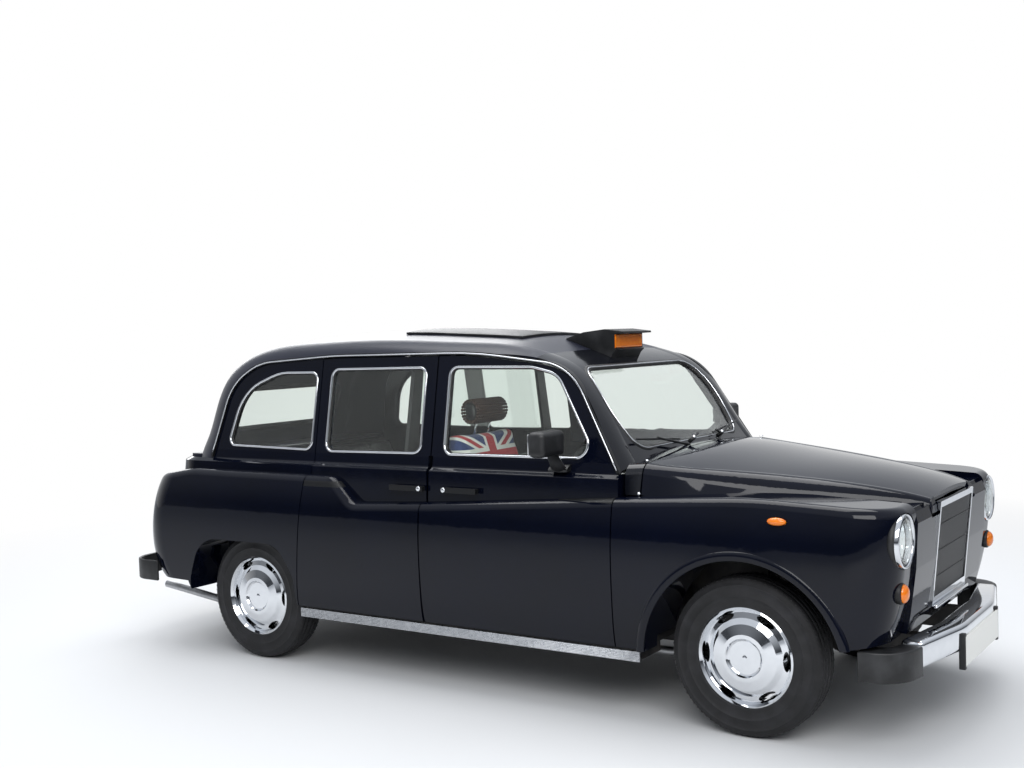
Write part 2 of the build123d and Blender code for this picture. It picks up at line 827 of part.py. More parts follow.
# Floor, sills, bulkhead and inner wings
deck_z = 560.0
heel_x = -1010.0
floor_half = 640.0
inner_wing_y = 333.0
inner_wing_depth = 17.0
arch_wall_x = 1942.0
sill_section = ((floor_half, 282), (826, 282), (826, 324), (735, 324), (735, floor_z), (floor_half, floor_z))
with BuildPart() as floor_pan:
    add(
        block(
            (wheelhouse_front_x + 2, -floor_half, floor_z - floor_depth),
            (bulkhead_x + bulkhead_depth, floor_half, floor_z),
        )
    )
    add(block((heel_x, -wing_inner_y, floor_z - floor_depth), (wheelhouse_front_x + 4, wing_inner_y, floor_z)))
    sill = section_prism(sill_section, 0, wheelhouse_front_x + 2, 1060)
    add(sill)
    add(mirrored(sill))
    with BuildSketch(Plane.YZ.offset(bulkhead_x)):
        with BuildLine():
            ThreePointArc((-735, 935), (0, 1100), (735, 935))
            Polyline((735, 935), (735, floor_z - floor_depth), (-735, floor_z - floor_depth), (-735, 935))
        make_face()
    extrude(amount=bulkhead_depth)
    add(block((heel_x, -wing_inner_y, floor_z - floor_depth), (heel_x + 25, wing_inner_y, deck_z)))
    add(block((-2104, -wing_inner_y, deck_z - 30), (heel_x, wing_inner_y, deck_z)))
    for side in (-1, 1):
        for low, high in (
            ((bulkhead_x, inner_wing_y, 420), (arch_wall_x, inner_wing_y + inner_wing_depth, 800)),
            ((bulkhead_x, inner_wing_y, 780), (arch_wall_x, wing_inner_y, 800)),
            ((arch_wall_x, inner_wing_y, 455), (arch_wall_x + 18, wing_inner_y, 800)),
            ((-1700, wing_inner_y - 20, deck_z - 30), (heel_x, wing_inner_y, wheelhouse_roof_z)),
        ):
            wall = block(low, high)
            add(wall if side > 0 else mirrored(wall))
save(floor_pan.part, "floor_pan")

# Chassis
rail_y, rail_width = 262.0, 64.0
rear_rail_y, rear_rail_width = 440.0, 80.0
front_rail = (
    (2157, 300),
    (2157, 396),
    (1200, 396),
    (1100, 340),
    (-960, 340),
    (-960, 245),
    (1060, 245),
    (1200, 300),
)
rear_rail = (
    (-890, 245),
    (-890, 340),
    (-1014, 340),
    (-1014, 525),
    (-2098, 525),
    (-2098, 445),
    (-1120, 445),
    (-1060, 245),
)
with BuildPart() as chassis_frame:
    for side in (-1, 1):
        for face, low_y, width in (
            (front_rail, rail_y, rail_width),
            (rear_rail, rear_rail_y, rear_rail_width),
        ):
            rail = across(flat_face(face), low_y, low_y + width)
            add(rail if side > 0 else mirrored(rail))
    for low_x, high_x, half_y, low_z, high_z in (
        (1890, 1950, 300, 300, 390),
        (1360, 1460, 300, 236, 306),
        (200, 260, 300, 250, 335),
        (-960, -890, 500, 245, 340),
        (-2098, -2048, 500, 450, 520),
    ):
        add(block((low_x, -half_y, low_z), (high_x, half_y, high_z)))
save(chassis_frame.part, "chassis_frame")

# Engine with its radiator, plain
with BuildPart() as engine:
    with Locations((1435, 0, 620)):
        Box(600, 460, 540)
    fillet(engine.edges(), radius=30)
with BuildPart() as radiator:
    with Locations((2030, 0, 690)):
        Box(56, 600, 430)
with BuildPart() as engine_block:
    add(engine.part)
    add(radiator.part)
save(engine_block.part, "engine_block")

# Wheels and tyres
wheel_centre_y = track / 2
tyre_section = ((203, 62), (262, 88), (322, 82), (338, 58))
wheel_section = (
    (0, 34),
    (58, 34),
    (60, 24),
    (150, 24),
    (180, 14),
    (190, 10),
    (190, -76),
    (213, -76),
    (213, -70),
    (201, -66),
    (201, 66),
    (213, 68),
    (213, 78),
    (204, 84),
    (195, 72),
    (188, 58),
    (164, 64),
    (140, 78),
    (98, 87),
    (82, 88),
    (76, 80),
    (70, 76),
    (0, 77),
)
cover_hole_r, cover_hole_length, cover_hole_width = 176.0, 84.0, 27.0
Corner = namedtuple("Corner", "name x y")
corners = (
    Corner("front_left", front_axle_x, wheel_centre_y),
    Corner("front_right", front_axle_x, -wheel_centre_y),
    Corner("rear_left", rear_axle_x, wheel_centre_y),
    Corner("rear_right", rear_axle_x, -wheel_centre_y),
)
with BuildPart() as tyre_solid:
    with BuildSketch(Plane.XY):
        with BuildLine():
            FilletPolyline(
                tyre_section + tuple((r, -y) for r, y in reversed(tyre_section)),
                radius=(0, 30, 14, 12, 12, 14, 30, 0),
                close=True,
            )
        make_face()
    revolve(axis=Axis.Y)
with BuildPart() as wheel_solid:
    with BuildSketch(Plane.XY):
        with BuildLine():
            Polyline(wheel_section, close=True)
        make_face()
    revolve(axis=Axis.Y)
    with BuildSketch(Plane.XZ.offset(-90)):
        with PolarLocations(cover_hole_r, 6):
            Ellipse(cover_hole_width / 2, cover_hole_length / 2)
    extrude(amount=80, mode=Mode.SUBTRACT)
for corner in corners:
    turn = 0 if corner.y > 0 else 180
    place = Location((corner.x, corner.y, tyre_radius), (0, 0, turn))
    save(tyre_solid.part.moved(place), f"tyre_{corner.name}")
    save(wheel_solid.part.moved(place), f"wheel_{corner.name}")

# Steering knuckle, suspension and rear axle
hub_end_y = 732.0
with BuildPart() as knuckle:
    with Locations((front_axle_x, kingpin_y, 340)):
        Cylinder(34, 206)
    add(rod((front_axle_x, kingpin_y, tyre_radius), (front_axle_x, 655, tyre_radius), 34))
    add(rod((front_axle_x, 655, tyre_radius), (front_axle_x, hub_end_y - 5, tyre_radius), 52))
both_sides(knuckle.part, "knuckle")

with BuildPart() as suspension_side:
    for low_z, high_z, reach in ((205, 231, 252), (450, 474, 226)):
        arm_points = ((-34, -2), (34, -2), (reach / 2, -reach), (-reach / 2, -reach))
        with BuildSketch(Plane.XY.offset(low_z)):
            with Locations((front_axle_x, kingpin_y)):
                Circle(34)
                with BuildLine():
                    Polyline([(front_axle_x + x, kingpin_y + y) for x, y in arm_points], close=True)
                make_face()
        extrude(amount=high_z - low_z)
    add(rod((front_axle_x, 400, 215), (front_axle_x, 400, 778), 46))
pair(suspension_side.part, "front_suspension")

with BuildPart() as rear_axle:
    add(rod((rear_axle_x, -560, tyre_radius), (rear_axle_x, 560, tyre_radius), 38))
    with Locations((rear_axle_x, 0, tyre_radius)):
        Sphere(112)
    for side in (-1, 1):
        add(rod((rear_axle_x, side * 560, tyre_radius), (rear_axle_x, side * 612, tyre_radius), 120))
        drum_end = (rear_axle_x, side * (hub_end_y - 5), tyre_radius)
        add(rod((rear_axle_x, side * 612, tyre_radius), drum_end, 52))
        low, high = sorted((side * 450, side * 505))
        add(block((-1700, low, 282), (-1140, high, 302)))
        add(block((-1700, low, 282), (-1680, high, 444)))
        add(block((-1160, low, 282), (-1140, high, 444)))
save(rear_axle.part, "rear_axle")

with BuildPart() as exhaust:
    add(
        rods(
            ((1030, -400, 215), (-900, -400, 212), (-1700, -565, 212), (-2230, -600, 288)),
            21,
        )
    )
    add(rod((420, -400, 240), (-180, -400, 240), 70))
save(exhaust.part, "exhaust")

# Bumpers with end caps, and plates
front_outer = ((2005, 812), (2172, 812), (2284, 250), (2284, -250), (2172, -812), (2005, -812))
front_inner = ((2005, 704), (2104, 704), (2170, 240), (2170, -240), (2104, -704), (2005, -704))
rear_outer = ((-1985, 878), (-2222, 878), (-2284, 250), (-2284, -250), (-2222, -878), (-1985, -878))
rear_inner = ((-1985, 863), (-2199, 863), (-2254, 240), (-2254, -240), (-2199, -863), (-1985, -863))
outer_radii = (150, 600, 600, 150)
front_inner_radii, rear_inner_radii = (60, 500, 500, 60), (118, 560, 560, 118)
cap_y = 620.0


def bumper_band(outer, inner, inner_radii, low_z, high_z):
    """A bent bar in plan between two outlines."""
    with BuildPart() as band:
        with BuildSketch(Plane.XY.offset(low_z)):
            with BuildLine():
                FilletPolyline(outer, radius=outer_radii)
                FilletPolyline(inner, radius=inner_radii)
                Line(outer[0], inner[0])
                Line(outer[-1], inner[-1])
            make_face()
        extrude(amount=high_z - low_z)
    return band.part


with BuildPart() as front_bumper:
    add(bumper_band(front_outer, front_inner, front_inner_radii, 336, 446))
    add(block((1900, -cap_y, 200), (2400, cap_y, 500)), mode=Mode.INTERSECT)
save(front_bumper.part, "front_bumper")
with BuildPart() as rear_bumper:
    add(bumper_band(rear_outer, rear_inner, rear_inner_radii, 376, 486))
    add(block((-2400, -cap_y, 200), (-1900, cap_y, 500)), mode=Mode.INTERSECT)
save(rear_bumper.part, "rear_bumper")
with BuildPart() as bumper_caps:
    add(bumper_band(front_outer, front_inner, front_inner_radii, 306, 428))
    add(bumper_band(rear_outer, rear_inner, rear_inner_radii, 374, 488))
    add(block((-2400, -cap_y - 1, 200), (2400, cap_y + 1, 500)), mode=Mode.SUBTRACT)
save(bumper_caps.part, "bumper_caps")
with BuildPart() as number_plates:
    add(block((2284, -286, 276), (2290, 286, 400)))
    add(block((-2290, -260, 330), (-2284, 260, 440)))
save(number_plates.part, "number_plates")

# Lamps
with BuildPart() as headlamp:
    with BuildSketch(Plane.XY):
        with BuildLine():
            ThreePointArc((0, 2180), (55, 2175), (96, 2160))
            Polyline((96, 2160), (104, 2172), (110, 2164), (110, 2140), (98, 2140), (98, 2060), (0, 2060))
            Line((0, 2060), (0, 2180))
        make_face()
    revolve(axis=Axis.Y)
headlamp_turned = headlamp.part.moved(Location((0, headlamp_y, headlamp_z), (0, 0, -90)))
pair(headlamp_turned, "headlamps")

with BuildPart() as amber_side:
    add(rod((2142, indicator_y, indicator_z), (2182, indicator_y, indicator_z), indicator_radius))
    add(repeater(844, 872, 0))
pair(amber_side.part, "amber_lamps")
with BuildPart() as tail_lamp:
    with Locations((-2146, 600, 700)):
        Box(40, 76, 206)
    fillet(tail_lamp.edges().filter_by(Axis.X), radius=20)
pair(tail_lamp.part, "tail_lamps")

# Drip rails and sill strips
rail_proud = 12.0
rail_section = (
    (frame_y(900) + rail_proud, 900),
    (frame_y(1700) + rail_proud, 1700),
    (frame_y(1700) - 16, 1700),
    (frame_y(900) - 16, 900),
)
with BuildSketch(Plane.XZ) as rail_face:
    add(inside_gutter(-gutter_half))
    add(inside_gutter(gutter_half - 1), mode=Mode.SUBTRACT)
    above_belt = ((-2300, belt_z + 24), (2300, belt_z + 24), (2300, 1800), (-2300, 1800))
    add(flat_face(above_belt), mode=Mode.INTERSECT)
with BuildPart() as drip_rail:
    add(section_prism(rail_section, 0, -1800, 1000))
    add(across(rail_face.sketch, 500, 900), mode=Mode.INTERSECT)
    add(body_shell.part, mode=Mode.SUBTRACT)
with BuildPart() as trims_side:
    add(drip_rail.part)
    add(block((-925, 826, 274), (1060, 838, 318)))
pair(trims_side.part, "side_trims")

# Roof sign and raised roof panel
sign_half, lens_half = 150.0, 143.0
sign_face = (
    (290, 1660),
    (292, 1678),
    (420, 1706),
    (540, 1718),
    (645, 1704),
    (645, 1695),
    (594, 1693),
    (594, 1622),
    (604, 1616),
    (584, 1597),
    (566, 1565),
    (470, 1606),
)
sign_plan = ((270, 100), (420, sign_half), (700, sign_half), (700, -sign_half), (420, -sign_half), (270, -100))
lens_low, lens_high = (566, -lens_half, 1623), (700, lens_half, 1692)
with BuildPart() as sign_housing:
    add(across(flat_face(sign_face), -sign_half, sign_half))
    with BuildSketch(Plane.XY.offset(1500)):
        with BuildLine():
            Polyline(sign_plan, close=True)
        make_face()
    extrude(amount=300, mode=Mode.INTERSECT)
    add(strap(0, shell_depth), mode=Mode.SUBTRACT)
    add(block(lens_low, lens_high), mode=Mode.SUBTRACT)
with BuildPart() as roof_panel:
    add(strap(-13, 12))
    add(block((-570, -330, 1500), (170, 330, 1900)), mode=Mode.INTERSECT)
with BuildPart() as roof_fittings:
    add(sign_housing.part)
    add(roof_panel.part)
save(roof_fittings.part, "roof_fittings")
with BuildPart() as roof_sign_lens:
    add(block(lens_low, (598, lens_half, 1692)))
    fillet(roof_sign_lens.faces().sort_by(Axis.X)[-1].edges(), radius=8)
save(roof_sign_lens.part, "roof_sign_lens")


def on_screen(y, up, off):
    """A point on the windscreen's slope: half width, distance up from its foot, height off it."""
    lean = radians(38.3)
    return (951 - up * sin(lean) + off * cos(lean), y, 1170 + up * cos(lean) + off * sin(lean))


with BuildPart() as wipers:
    for shift in (-1, 1):
        pivot, elbow = on_screen(-160 * shift, -44, -4), on_screen(-160 * shift, -40, 26)
        add(rods((pivot, elbow, on_screen(-400 * shift, 30, 22)), 6))
        add(rod(on_screen(-190 * shift, 8, 14), on_screen(-560 * shift, 52, 6), 5))
    add(body_shell.part, mode=Mode.SUBTRACT)
save(wipers.part, "wipers")

# Dashboard with the steering column, and the steering wheel
wheel_centre = (520, -380, 1020)
column_way = Vector(-0.847, 0, 0.532)
dash_face = ((940, 820), (940, 1062), (860, 1090), (770, 1060), (755, 900), (800, 820))
with BuildPart() as dashboard:
    add(across(flat_face(dash_face), -690, 690))
    foot = Vector(*wheel_centre) - column_way * 420
    head = Vector(*wheel_centre) - column_way * 50
    add(rod(tuple(foot), tuple(head), 34))
save(dashboard.part, "dashboard")
with BuildPart() as steering_wheel:
    with BuildSketch(Plane.XZ):
        with Locations((190, 0)):
            Circle(14)
    revolve(axis=Axis.Z)
    Cylinder(46, 34)
    for turn in (0, 120, 240):
        with Locations(Location((0, 0, 0), (0, 0, turn + 90))):
            with Locations((95, 0, 0)):
                Box(190, 28, 12)
column_plane = Plane(origin=wheel_centre, x_dir=(0, 1, 0), z_dir=column_way)
steering_turned = steering_wheel.part.moved(column_plane.location)
save(steering_turned, "steering_wheel")

# Seats and partition
seat_y = -380.0


def padded_prism(points, low_y, high_y, radius):
    """An upholstered block: a side outline across the car with rounded edges."""
    with BuildPart() as pad:
        add(across(flat_face(points), low_y, high_y))
        fillet(pad.edges(), radius=radius)
    return pad.part


with BuildPart() as drivers_seat:
    add(padded_prism(((-10, 540), (460, 545), (470, 660), (-20, 650)), seat_y - 250, seat_y + 250, 28))
    add(padded_prism(((20, 620), (100, 660), (-40, 1215), (-120, 1200)), seat_y - 245, seat_y + 245, 28))
    add(padded_prism(((-70, 1272), (10, 1280), (-10, 1378), (-82, 1372)), seat_y - 140, seat_y + 140, 22))
    for side in (-1, 1):
        add(rod((-70, seat_y + side * 60, 1180), (-42, seat_y + side * 60, 1290), 7))
    add(block((40, seat_y - 200, floor_z), (400, seat_y + 200, 560)))
save(drivers_seat.part, "drivers_seat")

partition_x, partition_depth = -325.0, 22.0
partition_section = ((685, floor_z), (685, waist_z), (590, 1600), (0, 1600), (0, floor_z))
pane_section = ((600, 1020), (600, waist_z), (530, 1540), (0, 1540), (0, 1020))
with BuildPart() as partition_half:
    add(section_prism(partition_section, 0, partition_x, partition_x + partition_depth))
    add(section_prism(pane_section, 0, partition_x - 10, partition_x + 40), mode=Mode.SUBTRACT)
with BuildPart() as partition:
    add(partition_half.part)
    mirror(about=Plane.XZ)
save(partition.part, "partition")
with BuildPart() as partition_glass:
    add(section_prism(pane_section, 0, partition_x + 8, partition_x + 14))
    mirror(about=Plane.XZ)
save(partition_glass.part, "partition_glass")

with BuildPart() as rear_seat:
    add(padded_prism(((-930, 600), (-930, 790), (-1440, 762), (-1440, 562), (-984, 562)), -530, 530, 26))
    add(padded_prism(((-1385, 775), (-1490, 775), (-1650, 1060), (-1545, 1068)), -690, 690, 30))
save(rear_seat.part, "rear_seat")

with BuildPart() as tip_seat:
    add(padded_prism(((-350, 640), (-350, 960), (-405, 960), (-405, 640)), 180, 580, 16))
    for low_y in (230, 500):
        add(block((-372, low_y, 596), (-352, low_y + 30, 700)))
both_sides(tip_seat.part, "tip_up_seat")

# Door mirrors on a tapered neck from the belt
mirror_foot = ((752, 1080), (747.4, 1111), (764, 1108), (794, 1090), (792, 1080))
with BuildPart() as mirror_unit:
    with Locations((690, 955, 1224)):
        Box(86, 190, 112)
    fillet(mirror_unit.edges(), radius=24)
    with BuildSketch(Plane(origin=(640, 776, 1090), x_dir=(1, 0, 0), z_dir=(40, 128, 92))):
        Ellipse(40, 17)
    with BuildSketch(Plane(origin=(680, 904, 1182), x_dir=(1, 0, 0), z_dir=(40, 128, 92))):
        Ellipse(24, 15)
    loft()
    add(section_prism(mirror_foot, 0, 592, 690))
both_sides(mirror_unit.part, "mirror")
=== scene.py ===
import bpy
import bmesh
from math import cos, exp, pi, radians, sin, tan
from mathutils import Matrix, Vector
from mathutils.bvhtree import BVHTree


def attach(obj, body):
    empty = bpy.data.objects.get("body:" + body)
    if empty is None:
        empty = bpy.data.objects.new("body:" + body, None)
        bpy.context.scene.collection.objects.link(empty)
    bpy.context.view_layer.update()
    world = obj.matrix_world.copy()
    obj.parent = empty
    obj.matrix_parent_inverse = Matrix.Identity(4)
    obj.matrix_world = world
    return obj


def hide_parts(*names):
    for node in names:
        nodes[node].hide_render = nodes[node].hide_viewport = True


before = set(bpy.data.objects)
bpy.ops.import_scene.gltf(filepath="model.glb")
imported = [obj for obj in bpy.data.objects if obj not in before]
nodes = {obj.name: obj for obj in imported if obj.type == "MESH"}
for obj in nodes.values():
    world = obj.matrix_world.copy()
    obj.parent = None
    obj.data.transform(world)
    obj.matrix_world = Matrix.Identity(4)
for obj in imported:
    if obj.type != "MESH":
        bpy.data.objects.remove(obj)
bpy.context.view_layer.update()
scene = bpy.context.scene
HANDS = (("left", 1), ("right", -1))
FORWARD = (1, 0, 0)

# Kinds of shader node. A colour mix takes its colours at inputs 6 and 7 and gives its result at output 2
MIX, MATH, RANGE = "ShaderNodeMix", "ShaderNodeMath", "ShaderNodeMapRange"
NOISE, CELLS, WAVE = "ShaderNodeTexNoise", "ShaderNodeTexVoronoi", "ShaderNodeTexWave"
BUMP, SPLIT = "ShaderNodeBump", "ShaderNodeSeparateXYZ"
COLOURS, NUMBERS, ALONG_Y = {"data_type": "RGBA"}, {"data_type": "FLOAT"}, {"bands_direction": "Y"}
ABSOLUTE, SUM, DIFFERENCE, PRODUCT = ({"operation": o} for o in ("ABSOLUTE", "ADD", "SUBTRACT", "MULTIPLY"))
MORE, LESS, HIGHEST = ({"operation": o} for o in ("GREATER_THAN", "LESS_THAN", "MAXIMUM"))
# Relief patterns: the kind of node, its settings, and what it's given and asked for
PEBBLES = (CELLS, None, {})
CREASES = (CELLS, {"feature": "DISTANCE_TO_EDGE"}, {})
RIBS = (WAVE, ALONG_Y, {"out": "Fac"})
GRIT = (NOISE, None, {"Detail": 3.0})


# Colours, nodes and new materials
def srgb(code):
    """A linear colour from sRGB hex digits."""
    parts = [int(code[i : i + 2], 16) / 255 for i in (0, 2, 4)]
    return tuple(c / 12.92 if c <= 0.04045 else ((c + 0.055) / 1.055) ** 2.4 for c in parts) + (1.0,)


def add(tree, kind, settings=None, to=None, out=0, **inputs):
    """One node with its settings and links. Gives the output asked for, and links it to a socket if told to.

    An input is named with underscores for spaces, or with i and its number. A colour is in hex digits.
    """
    node = tree.nodes.new(kind)
    for key, value in (settings or {}).items():
        setattr(node, key, value)
    for key, value in inputs.items():
        numbered = key[0] == "i" and key[1:].isdigit()
        socket = node.inputs[int(key[1:]) if numbered else key.replace("_", " ")]
        if isinstance(value, bpy.types.NodeSocket):
            tree.links.new(value, socket)
        else:
            socket.default_value = srgb(value) if isinstance(value, str) else value
    result = node.outputs[out] if len(node.outputs) else None
    if to is not None:
        tree.links.new(result, to)
    return result


def start(name, **values):
    """A new material, its tree, its shader's sockets with values on them, and object coordinates."""
    material = bpy.data.materials.new(name)
    material.use_nodes = True
    tree = material.node_tree
    shader = tree.nodes["Principled BSDF"].inputs
    for key, value in values.items():
        shader[key.replace("_", " ")].default_value = value
    return material, tree, shader, add(tree, "ShaderNodeTexCoord", out="Object")


def copied(base, name):
    """A copy of a material under a new name, its tree, its shader's sockets and its object coordinates."""
    material = base.copy()
    material.name = name
    tree = material.node_tree
    where = next(n for n in tree.nodes if n.type == "TEX_COORD").outputs["Object"]
    return material, tree, tree.nodes["Principled BSDF"].inputs, where


# Finishes. A noise's or a cell pattern's scale is in cells to the metre
def coach_enamel(name, code):
    """Cellulose coach enamel, sprayed and polished: near-black, deep gloss, orange peel 6 mm across."""
    material, tree, shader, where = start(name, Specular_IOR_Level=0.24, Coat_Weight=0.1, Coat_Roughness=0.03)
    haze = add(tree, NOISE, Vector=where, Scale=3.0, Detail=4.0)
    add(tree, MIX, COLOURS, to=shader["Base Color"], out=2, Factor=haze, i6=code, i7="060a1a")
    patches = add(tree, NOISE, Vector=where, Scale=22.0, Detail=3.0)
    polish = add(tree, RANGE, Value=patches, From_Min=0.3, From_Max=0.8)
    add(tree, RANGE, to=shader["Roughness"], Value=polish, To_Min=0.045, To_Max=0.09)
    peel = add(tree, NOISE, Vector=where, Scale=160.0, Detail=1.0)
    add(tree, BUMP, to=shader["Normal"], Height=peel, Strength=0.05, Distance=0.0004)
    return material


def roof_vinyl(name):
    """Pressed vinyl over the roof: satin black, leather-like grain of about 2 mm.

    The screen pillars, the scuttle and the tail below the waist are glossy enamel.
    """
    pillars_from, pillars_full, waist = 0.46, 0.465, 1.07
    material, tree, shader, where = start(name)
    spot = add(tree, SPLIT, Vector=where).node.outputs
    ahead = add(tree, RANGE, Value=spot["X"], From_Min=pillars_from, From_Max=pillars_full)
    low = add(tree, MATH, LESS, i0=spot["Z"], i1=waist)
    painted = add(tree, MATH, HIGHEST, i0=ahead, i1=low)
    haze = add(tree, NOISE, Vector=where, Scale=5.0, Detail=3.0)
    skin = add(tree, MIX, COLOURS, out=2, Factor=haze, i6="0d1020", i7="171b2b")
    add(tree, MIX, COLOURS, to=shader["Base Color"], out=2, Factor=painted, i6=skin, i7="05070f")
    add(tree, RANGE, to=shader["Roughness"], Value=painted, To_Min=0.34, To_Max=0.1)
    grain = add(tree, CELLS, Vector=where, Scale=480.0)
    relief = add(tree, RANGE, Value=painted, To_Min=0.03, To_Max=0.0)
    add(tree, BUMP, to=shader["Normal"], Height=grain, Strength=relief, Distance=0.0003)
    return material


def plated(name, code, roughness, grain=None):
    """Bright metal with a faint haze. A grain is a fine relief, closer set along the car than across it."""
    material, tree, shader, where = start(name, Metallic=1.0)
    haze = add(tree, NOISE, Vector=where, Scale=30.0, Detail=3.0)
    faint = add(tree, RANGE, Value=haze, From_Max=2.0)
    add(tree, MIX, COLOURS, to=shader["Base Color"], out=2, Factor=faint, i6=code, i7="f2f3f5")
    add(tree, RANGE, to=shader["Roughness"], Value=haze, To_Min=roughness * 0.7, To_Max=roughness * 1.4)
    if grain:
        stretch = add(tree, "ShaderNodeMapping", Vector=where, Scale=(3.0, 1.0, 1.0))
        drawn = add(tree, NOISE, Vector=stretch, Scale=grain, Detail=3.0)
        add(tree, BUMP, to=shader["Normal"], Height=drawn, Strength=0.08, Distance=0.0003)
    return material


def two_tone(name, first, second, cloud, pattern, scale, strength, depth, **values):
    """A finish mottled between two colours by a noise, under a fine relief whose depth is in metres.

    The cloud is the noise's scale and detail, and its range where the second colour lies in patches.
    """
    material, tree, shader, where = start(name, **values)
    tone = add(tree, NOISE, Vector=where, Scale=cloud[0], Detail=cloud[1])
    if len(cloud) > 2:
        tone = add(tree, RANGE, Value=tone, From_Min=cloud[2], From_Max=cloud[3])
    add(tree, MIX, COLOURS, to=shader["Base Color"], out=2, Factor=tone, i6=first, i7=second)
    kind, settings, inputs = pattern
    relief = add(tree, kind, settings, Vector=where, Scale=scale, **inputs)
    add(tree, BUMP, to=shader["Normal"], Height=relief, Strength=strength, Distance=depth)
    return material


def window_glass(name, code):
    """Toughened glass, clear with a slight green tint. Light falls through it into the cabin."""
    material, tree, shader, where = start(
        name, Base_Color=srgb(code), Transmission_Weight=1.0, Roughness=0.0, IOR=1.45
    )
    ripple = add(tree, NOISE, Vector=where, Scale=4.0, Detail=3.0)
    add(tree, BUMP, to=shader["Normal"], Height=ripple, Strength=0.01, Distance=0.0005)
    shadow = add(tree, "ShaderNodeLightPath", out="Is Shadow Ray")
    clear = add(tree, "ShaderNodeBsdfTransparent", Color=code)
    bright_side = tree.nodes["Principled BSDF"].outputs[0]
    surface = tree.nodes["Material Output"].inputs["Surface"]
    add(tree, "ShaderNodeMixShader", to=surface, i0=shadow, i1=bright_side, i2=clear)
    return material


def loop_carpet():
    """Looped carpet in two tones: matt, with a soft sheen and crossing rows of loops about 8 mm apart."""
    rows = 39.7886
    material, tree, shader, where = start("carpet loop", Roughness=0.9, Sheen_Weight=0.3)
    tone = add(tree, NOISE, Vector=where, Scale=12.0, Detail=3.0)
    add(tree, MIX, COLOURS, to=shader["Base Color"], out=2, Factor=tone, i6="1a1a1c", i7="101012")
    across = add(tree, WAVE, ALONG_Y, out="Fac", Vector=where, Scale=rows)
    up = add(tree, WAVE, {"bands_direction": "Z"}, out="Fac", Vector=where, Scale=rows)
    loops = add(tree, MATH, PRODUCT, i0=across, i1=up)
    add(tree, BUMP, to=shader["Normal"], Height=loops, Strength=0.5, Distance=0.0006)
    return material


def blank_plate():
    """Reflective acrylic plate, white ahead and yellow behind, blank."""
    material, tree, shader, where = start("blank reflective plate", Roughness=0.25)
    x = add(tree, SPLIT, out="X", Vector=where)
    ahead = add(tree, RANGE, Value=x, From_Min=-0.01, From_Max=0.01)
    add(tree, MIX, COLOURS, to=shader["Base Color"], out=2, Factor=ahead, i6="e8c51a", i7="e6e6e0")
    beads = add(tree, NOISE, Vector=where, Scale=900.0, Detail=3.0)
    add(tree, BUMP, to=shader["Normal"], Height=beads, Strength=0.05, Distance=0.0002)
    return material


def banded(base):
    """Tail lamp lens: red with an amber band above and a clear band below, each about 50 mm high."""
    material, tree, shader, where = copied(base, "banded red, amber and clear lens")
    level = add(tree, SPLIT, out="Z", Vector=where)
    middle = shader["Base Color"].links[0].from_socket
    top = add(tree, RANGE, Value=level, From_Min=0.752, From_Max=0.754)
    upper = add(tree, MIX, COLOURS, out=2, Factor=top, i6=middle, i7="d97308")
    over = add(tree, RANGE, Value=level, From_Min=0.642, From_Max=0.644)
    add(tree, MIX, COLOURS, to=shader["Base Color"], out=2, Factor=over, i6="c9c9c6", i7=upper)
    return material


def masked(name, base, code, rough, pick):
    """A finish with a dull, unplated second colour where pick, from the tree and the place, gives 1."""
    material, tree, shader, where = copied(base, name)
    chosen = pick(tree, add(tree, SPLIT, Vector=where).node.outputs)
    plain = shader["Base Color"].links[0].from_socket
    add(tree, MIX, COLOURS, to=shader["Base Color"], out=2, Factor=chosen, i6=plain, i7=code)
    if shader["Metallic"].default_value > 0:
        add(tree, MATH, DIFFERENCE, to=shader["Metallic"], i0=1.0, i1=chosen)
    smooth = shader["Roughness"].links[0].from_socket
    add(tree, MIX, NUMBERS, to=shader["Roughness"], Factor=chosen, i2=smooth, i3=rough)
    return material


def on_pull_handle(tree, spot):
    """1 on a door's outside handle, which stands off the skin."""
    skin, handle_level, handle_half = 0.7885, 0.972, 0.0145
    side = add(tree, MATH, ABSOLUTE, i0=spot["Y"])
    proud = add(tree, MATH, MORE, i0=side, i1=skin)
    off_level = add(tree, MATH, DIFFERENCE, i0=spot["Z"], i1=handle_level)
    distance = add(tree, MATH, ABSOLUTE, i0=off_level)
    on_level = add(tree, MATH, LESS, i0=distance, i1=handle_half)
    return add(tree, MATH, PRODUCT, i0=proud, i1=on_level)


def above_sill(tree, spot):
    """1 on the drip rails, above the sill strips."""
    return add(tree, RANGE, Value=spot["Z"], From_Min=0.6, From_Max=0.61)


def between_surrounds(tree, spot):
    """1 on the grille's bars, inside its bright surround."""
    half, bottom, top = 0.2535, 0.5475, 0.9285
    side = add(tree, MATH, ABSOLUTE, i0=spot["Y"])
    inside = add(tree, MATH, LESS, i0=side, i1=half)
    over = add(tree, MATH, MORE, i0=spot["Z"], i1=bottom)
    under = add(tree, MATH, LESS, i0=spot["Z"], i1=top)
    level = add(tree, MATH, PRODUCT, i0=over, i1=under)
    return add(tree, MATH, PRODUCT, i0=inside, i1=level)


enamel = coach_enamel("deep blue-black coach enamel", "05070f")
roof_skin = roof_vinyl("roof vinyl and enamel")
chrome = plated("chrome plate", "d9dce0", 0.05)
bright = plated("bright anodised aluminium", "94979c", 0.26, grain=300.0)
steel = plated("aluminised steel pipe", "8f9092", 0.4)
reflector = plated("vacuum-silvered reflector", "eceef0", 0.06)
glass = window_glass("toughened window glass", "f1f6f3")
lamp_glass = window_glass("clear lamp glass", "f2f6f6")
